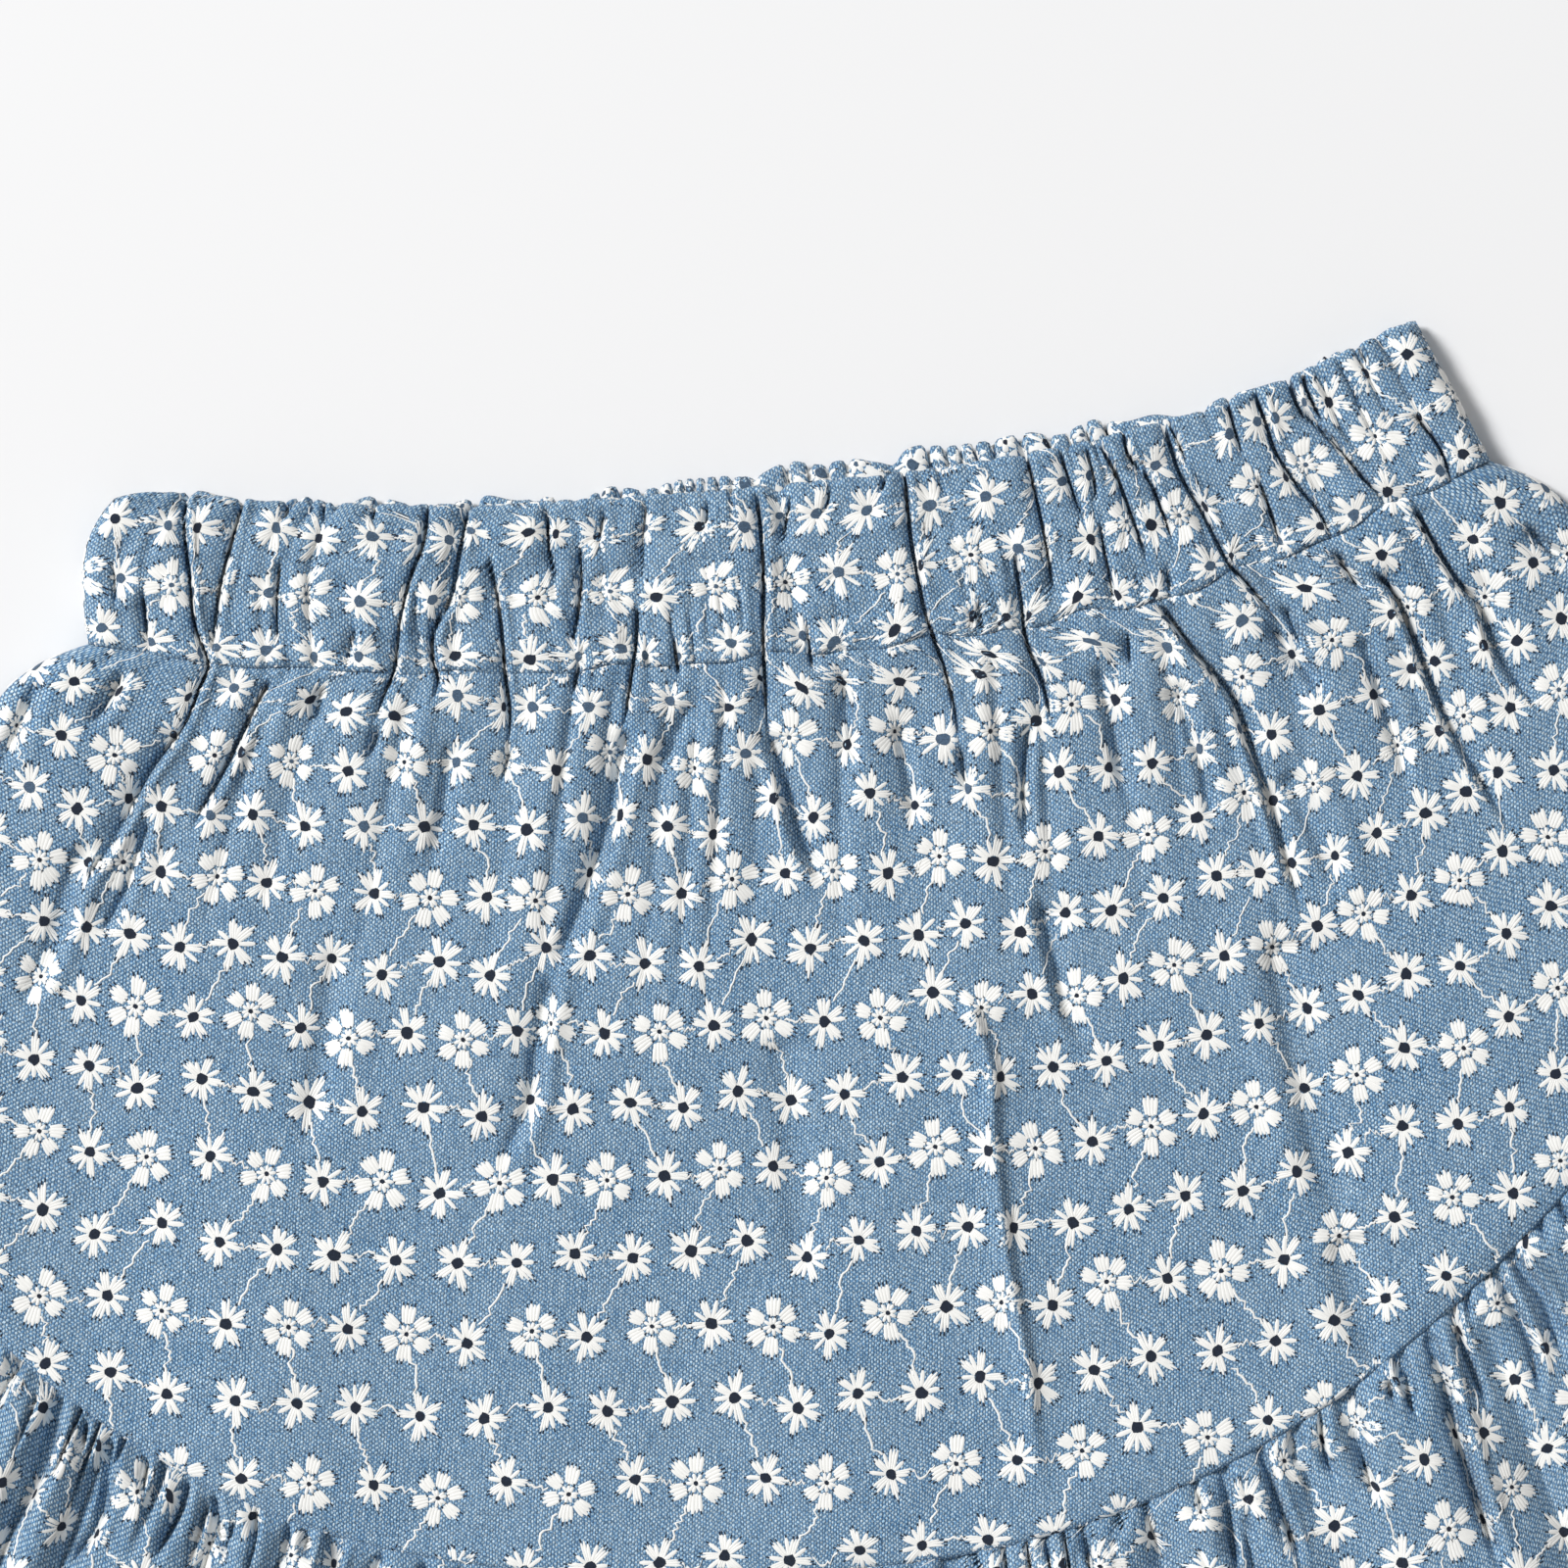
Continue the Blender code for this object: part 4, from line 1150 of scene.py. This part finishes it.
def make_eyelets(sewing, shows_through):
    """The open middles of the daisies and the pinholes of the larger flowers, each a fan of faces painted
    dark as the shade inside the hole. In some near the upper seam the cloth beneath shows, painted in its
    blue darkened as shade.
    """
    count = len(sewing.s)
    angles = np.arange(EYELET_CORNERS) * math.tau / EYELET_CORNERS
    radius = np.where(sewing.is_daisy, DAISY_HOLE * 0.96, BLOSSOM_PINHOLE)[:, None]
    uneven = random.uniform(0.74, 1.20, (count, EYELET_CORNERS + 1))
    x = np.append(0.0, np.cos(angles)) * radius * uneven
    y = np.append(0.0, np.sin(angles)) * radius * uneven
    s, t = sewing.to_cloth(x, y, np.arange(count))
    rise = np.where(sewing.is_daisy, 0.12 * MM, 0.20 * MM)[:, None]
    fan = [(0, i, i + 1, (i + 1) % EYELET_CORNERS + 1) for i in range(1, EYELET_CORNERS, 2)]
    # Each eyelet is painted shade: near-black, or the cloth's blue darkened where the cloth beneath shows
    share = shows_through * (1 - ease((sewing.t - SHOWS_DOWN_TO) / SHOWS_FADE))
    blue = np.random.default_rng(17).uniform(0, 1, count) < share
    sewing.add(s, t, rise, np.array(fan), HOLE_SHADE_PAINT + blue)


def paint_needle_hole_shade(sewing, stitches, owner, detail):
    """Needle holes at the tips of most stitches: short dark ticks of painted shade, for the shade in the
    holes and round the stitches' tips.
    """
    pricked = random.uniform(0, 1, len(stitches)) < 0.9 * detail
    x0, y0, x1, y1 = stitches[pricked, :4].T[..., None]
    run = np.hypot(x1 - x0, y1 - y0)
    way_x, way_y = (x1 - x0) / run, (y1 - y0) / run
    length = random.uniform(0.4, 0.85, (len(run), 1)) * MM
    x = x1 + way_x * length * NEEDLE_ALONG - way_y * NEEDLE_HALF * NEEDLE_ASIDE
    y = y1 + way_y * length * NEEDLE_ALONG + way_x * NEEDLE_HALF * NEEDLE_ASIDE
    s, t = sewing.to_cloth(x, y, owner[pricked])
    # The ticks are painted shade
    sewing.add(s, t, 0.03 * MM, np.array([(0, 1, 2, 3)]), HOLE_SHADE_PAINT)


def embroider(name, panel, flowers, links, detail, shows_through):
    """One mesh with all the flowers of a panel, the threads between them, and their holes, painted dark as
    shade.

    `shows_through` is the share of the eyelets near the upper seam in which the cloth beneath shows.
    """
    stitches = []
    owner = []
    for i, flower in enumerate(flowers):
        made = daisy_stitches(detail) if flower.kind == "daisy" else blossom_stitches(detail)
        stitches += made
        owner += [i] * len(made)
    stitches, owner = np.array(stitches), np.array(owner)
    sewing = Sewing(panel, flowers)
    sew_stitches(sewing, stitches, owner)
    sew_threads(sewing, links)
    make_eyelets(sewing, shows_through)
    paint_needle_hole_shade(sewing, stitches, owner, detail)
    return sewing.mesh(name)


# The repeat has four rows by turns: how many spacings a row is set off, the flowers in its even and its odd
# columns, whether they are mirrored there, which of these columns has a thread to the next row (0 even, 1
# odd), and how many columns on that thread ends. A thread also joins each even column to the next one.
Row = namedtuple("Row", "shift kinds mirrored linked step")
REPEAT = (
    Row(0.0, ("blossom", "daisy"), (False, False), 0, 1),
    Row(-0.5, ("daisy", "daisy"), (True, False), 0, 0),
    Row(0.0, ("daisy", "blossom"), (True, True), 1, -1),
    Row(0.5, ("daisy", "daisy"), (True, False), 1, 0),
)
Flower = namedtuple("Flower", "s t kind mirrored size")
# Where the flowers of a panel lie down its cloth: from `low` on, with the row of the repeat that `kind`
# counts at `first`. `pull` is how far the gathers draw the rows out of line at the upper seam.
Rows = namedtuple("Rows", "low first kind pull")
# The rows are pulled out of line less and less over this distance from the upper seam
PULL_REACH = 70.0 * MM
# Each flower lies a little off its place in the repeat
FLOWER_SHIFT = 0.35 * MM
# Flowers are made up to this far past the cloth's edges, which cut them
PAST_EDGE = 6 * MM


def flowers_and_links(panel, rows):
    """The flowers of a panel, and the pairs of them that a thread joins."""
    s_low, s_high = panel.s_values[0], panel.s_values[-1]
    t_low, t_high = rows.low, panel.t_grid.max()
    first_row = math.floor((t_low - rows.first) / ROW_PITCH) - 1
    last_row = math.ceil((t_high - rows.first) / ROW_PITCH) + 1
    first_column = math.floor(s_low / FLOWER_PITCH) - 2
    last_column = math.ceil(s_high / FLOWER_PITCH) + 2
    flowers = {}
    for row in range(first_row, last_row + 1):
        kind = REPEAT[(row + rows.kind) % 4]
        for column in range(first_column, last_column + 1):
            odd = column % 2
            s = column * FLOWER_PITCH + kind.shift * FLOWER_PITCH + random.normal(0, FLOWER_SHIFT)
            t = rows.first + row * ROW_PITCH + random.normal(0, FLOWER_SHIFT)
            here = rows.pull * (0.3 + 0.7 * math.exp(-abs(t) / PULL_REACH))
            pulled_s = s + 0.6 * here * waves(s, 0.5 * t, 51, 6, 70 * MM, 24 * MM)
            pulled_t = t + here * waves(s, 0.5 * t, 52, 6, 70 * MM, 24 * MM)
            size = random.normal(1.0, 0.03)
            flowers[row, column] = Flower(pulled_s, pulled_t, kind.kinds[odd], kind.mirrored[odd], size)

    def near(flower):
        is_near = s_low - PAST_EDGE < flower.s < s_high + PAST_EDGE
        return is_near and t_low - PAST_EDGE < flower.t < t_high + PAST_EDGE

    links = []
    for (row, column), flower in flowers.items():
        kind = REPEAT[(row + rows.kind) % 4]
        ends = [(row, column + 1)] if column % 2 == 0 else []
        if column % 2 == kind.linked:
            ends.append((row + 1, column + kind.step))
        links += [(flower, flowers[end]) for end in ends if end in flowers]
    links = [pair for pair in links if near(pair[0]) or near(pair[1])]
    return [flower for flower in flowers.values() if near(flower)], links


# Pieces

# The backs lie face down, so their flowers have fewer stitches
BACK_DETAIL = 0.34

# Near the waist the cloth is gathered along its length too, so more of it lies in each stretch
NEAR_WAIST_EXTRA = 18.1 * MM
NEAR_WAIST_REACH = 40.0 * MM
TIER_CLOTH_SHARE = 0.975
# The waist seam takes up this much of the cloth's top edge
WAIST_SEAM_TAKES = 3.2 * MM
# The ruffle's cloth is a little longer than it lies
RUFFLE_LONGER = 1.02

TIER_ROWS = Rows(0.0, 159.6 * MM, 0, 3.4 * MM)
RUFFLE_ROWS = Rows(0.0, 6.5 * MM, 0, 3.5 * MM)
# The waistband's flowers reach a little way down the inside of its casing
BAND_ROWS = {
    "front": Rows(-14 * MM, 25.2 * MM, 2, 1.5 * MM),
    "back": Rows(-20 * MM, 29.9 * MM, 2, 1.5 * MM),
}
# The part of the cloth's width that lies left of the line s = 0
WAIST_LEFT_SHARE = 0.417
RUFFLE_LEFT_SHARE = 0.46
# How many columns and rows of points the panels have
TIER_POINTS = {"front": (600, 148), "back": (180, 54)}
RUFFLE_POINTS = {"front": (880, 62), "back": (260, 28)}
BAND_COLUMNS = {"front": 720, "back": 440}
# The share of the eyelets near the upper seam in which the cloth beneath shows
TIER_SHOWS_THROUGH = 0.35
RUFFLE_SHOWS_THROUGH = 0.0
BAND_SHOWS_THROUGH = 0.55


def tier_length(across):
    x0, y0 = waist_place(across, 0.0 * across)
    x1, y1 = lower_seam_place(across)
    return np.hypot(x1 - x0, y1 - y0)


def tier_cloth_distance(across, down):
    plan = tier_length(across) * down
    further = NEAR_WAIST_EXTRA * (1 - np.exp(-np.maximum(plan, 0) / NEAR_WAIST_REACH))
    widened = 1 + 0.05 * ease((-across - 0.5) / 0.5)
    return WAIST_SEAM_TAKES + plan * TIER_CLOTH_SHARE * widened + further


def tier_weave(across, down):
    return across * (165 + 40 * down) * MM, -1.06 * tier_length(across) * down


def ruffle_cloth_distance(across, down):
    return RUFFLE_DEPTH * RUFFLE_LONGER * down + 0.0 * across


def ruffle_weave(across, down):
    return np.interp(across, *seam_run()) * (1.02 + 0.2 * down), -RUFFLE_DEPTH * down


def band_cloth_distance(across, turn):
    return BAND_CLOTH_HEIGHT * (1 - turn) + 0.0 * across


def band_weave(across, turn):
    return across * WAIST_HALF, BAND_HEIGHT * turn


def make_panel(name, side, cut, columns, downs, rows, shows_through):
    """The cloth of one panel, and its embroidery."""
    is_front = side == "front"
    panel = lay_out(f"{name}_{side}_cloth", cut, columns, downs, is_front)
    cloth = shell(panel, is_front)
    flowers, links = flowers_and_links(panel, rows)
    detail = 1.0 if is_front else BACK_DETAIL
    return cloth, embroider(f"{name}_{side}_embroidery", panel, flowers, links, detail, shows_through)


def finish_pieces(cloth, node, sewn):
    """Puts the cloth and its embroidery on the root body, and hides the part they take the place of."""
    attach(cloth, "root")
    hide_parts(node)
    for threads in sewn:
        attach(threads, "root")


def make_tier(side):
    is_front = side == "front"
    form = tier_front if is_front else tier_back
    cut = Cut(form, tier_cloth_distance, tier_weave, TIER_CLOTH_WIDTH, WAIST_LEFT_SHARE)
    columns, rows = TIER_POINTS[side]
    # The first row is tucked under the waistband and the last ones make the rolled lower edge
    main = np.linspace(0, 1, rows) ** 1.15 * 0.972
    downs = np.concatenate([[-0.004], main, [0.98, 0.987, 0.992, 0.996, 0.999, 1.0]])
    cloth, sewn = make_panel("upper", side, cut, columns, downs, TIER_ROWS, TIER_SHOWS_THROUGH)
    finish_pieces(cloth, f"upper_{side}", [sewn])


def make_ruffle(side):
    is_front = side == "front"
    form = ruffle_front if is_front else ruffle_back
    cut = Cut(form, ruffle_cloth_distance, ruffle_weave, RUFFLE_CLOTH_WIDTH, RUFFLE_LEFT_SHARE)
    columns, rows = RUFFLE_POINTS[side]
    downs = np.concatenate([[-0.02], np.linspace(0, 1, rows) ** 1.35])
    cloth, sewn = make_panel("ruffle", side, cut, columns, downs, RUFFLE_ROWS, RUFFLE_SHOWS_THROUGH)
    finish_pieces(cloth, f"ruffle_{side}", [sewn])


def make_waistband():
    """The front and back casings are one piece of cloth, joined round the ends."""
    # The rows run from inside the casing over the fold, where they are close, and down to the seam
    inner = np.linspace(2.0, 1.1, 10)[:-1]
    fold = np.linspace(1.1, 0.9, 13)[:-1]
    outer = np.concatenate([np.linspace(0.9, 0.06, 24), [0.045, 0.03, 0.015, 0.006, 0.0]])
    turns = np.concatenate([inner, fold, outer])
    cloths = []
    sewn = []
    for side, form in (("front", band_front), ("back", band_back)):
        cut = Cut(form, band_cloth_distance, band_weave, BAND_CLOTH_WIDTH, WAIST_LEFT_SHARE)
        rows = BAND_ROWS[side]
        made = make_panel("waistband", side, cut, BAND_COLUMNS[side], turns, rows, BAND_SHOWS_THROUGH)
        cloths.append(made[0])
        sewn.append(made[1])
    cloth = join_meshes(cloths, "waistband_cloth")
    finish_pieces(cloth, "waistband", sewn)


def join_meshes(objects, name):
    first = objects[0]
    with bpy.context.temp_override(
        active_object=first, object=first, selected_objects=objects, selected_editable_objects=objects
    ):
        bpy.ops.object.join()
    first.name = name
    first.data.name = name
    return first


# Studio

FRAME_WIDTH = 333.3 * MM
CAMERA_HEIGHT = 1.60
SENSOR = 36.0
LOOK_AT = (0.001, 0.0946)
PICTURE_LEVEL = 5.0 * MM
FLOOR_HALF = 3.0
FLOOR_LEVEL = -0.4 * MM
KEY_PLACE = (-4.3, 2.3, 4.9)
KEY_TARGET = (0, 0.05, 0)
KEY_SIZE = 1.7
KEY_POWER = 476.0
SKY_STRENGTH = 0.335


def make_camera():
    data = bpy.data.cameras.new("camera")
    data.sensor_width = SENSOR
    data.lens = SENSOR * CAMERA_HEIGHT / FRAME_WIDTH
    data.clip_start = 0.01
    data.clip_end = 20
    camera = bpy.data.objects.new("camera", data)
    camera.location = (*LOOK_AT, CAMERA_HEIGHT + PICTURE_LEVEL)
    bpy.context.scene.collection.objects.link(camera)
    bpy.context.scene.camera = camera


def make_key_light():
    data = bpy.data.lights.new("key", "AREA")
    data.shape = "RECTANGLE"
    data.size = KEY_SIZE
    data.size_y = KEY_SIZE
    data.energy = KEY_POWER
    light = bpy.data.objects.new("key", data)
    light.location = KEY_PLACE
    way = Vector(KEY_TARGET) - Vector(KEY_PLACE)
    light.rotation_euler = way.to_track_quat("-Z", "Y").to_euler()
    bpy.context.scene.collection.objects.link(light)


def make_studio():
    pale = Nodes("pale_floor", Base_Color=(0.86, 0.86, 0.865, 1.0), Roughness=0.9, Specular_IOR_Level=0.1)
    plan = FLOOR_HALF * np.array([(-1, -1), (1, -1), (1, 1), (-1, 1)])
    corners = np.column_stack([plan, np.full(4, FLOOR_LEVEL)])
    mesh_object("floor", corners, np.array([[0, 1, 2, 3]]), plan, [pale.material])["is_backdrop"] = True
    world = bpy.data.worlds.new("studio")
    world.use_nodes = True
    background = world.node_tree.nodes["Background"]
    background.inputs["Color"].default_value = (1.0, 1.0, 1.0, 1.0)
    background.inputs["Strength"].default_value = SKY_STRENGTH
    bpy.context.scene.world = world
    make_key_light()
    view = bpy.context.scene.view_settings
    view.view_transform = "Standard"
    view.look = "None"


make_camera()
make_waistband()
for side in ("front", "back"):
    make_tier(side)
    make_ruffle(side)
make_studio()

boxes = {"cad": cad_box, "visual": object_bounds()}
{name: [list(corner) for corner in box] for name, box in boxes.items()}
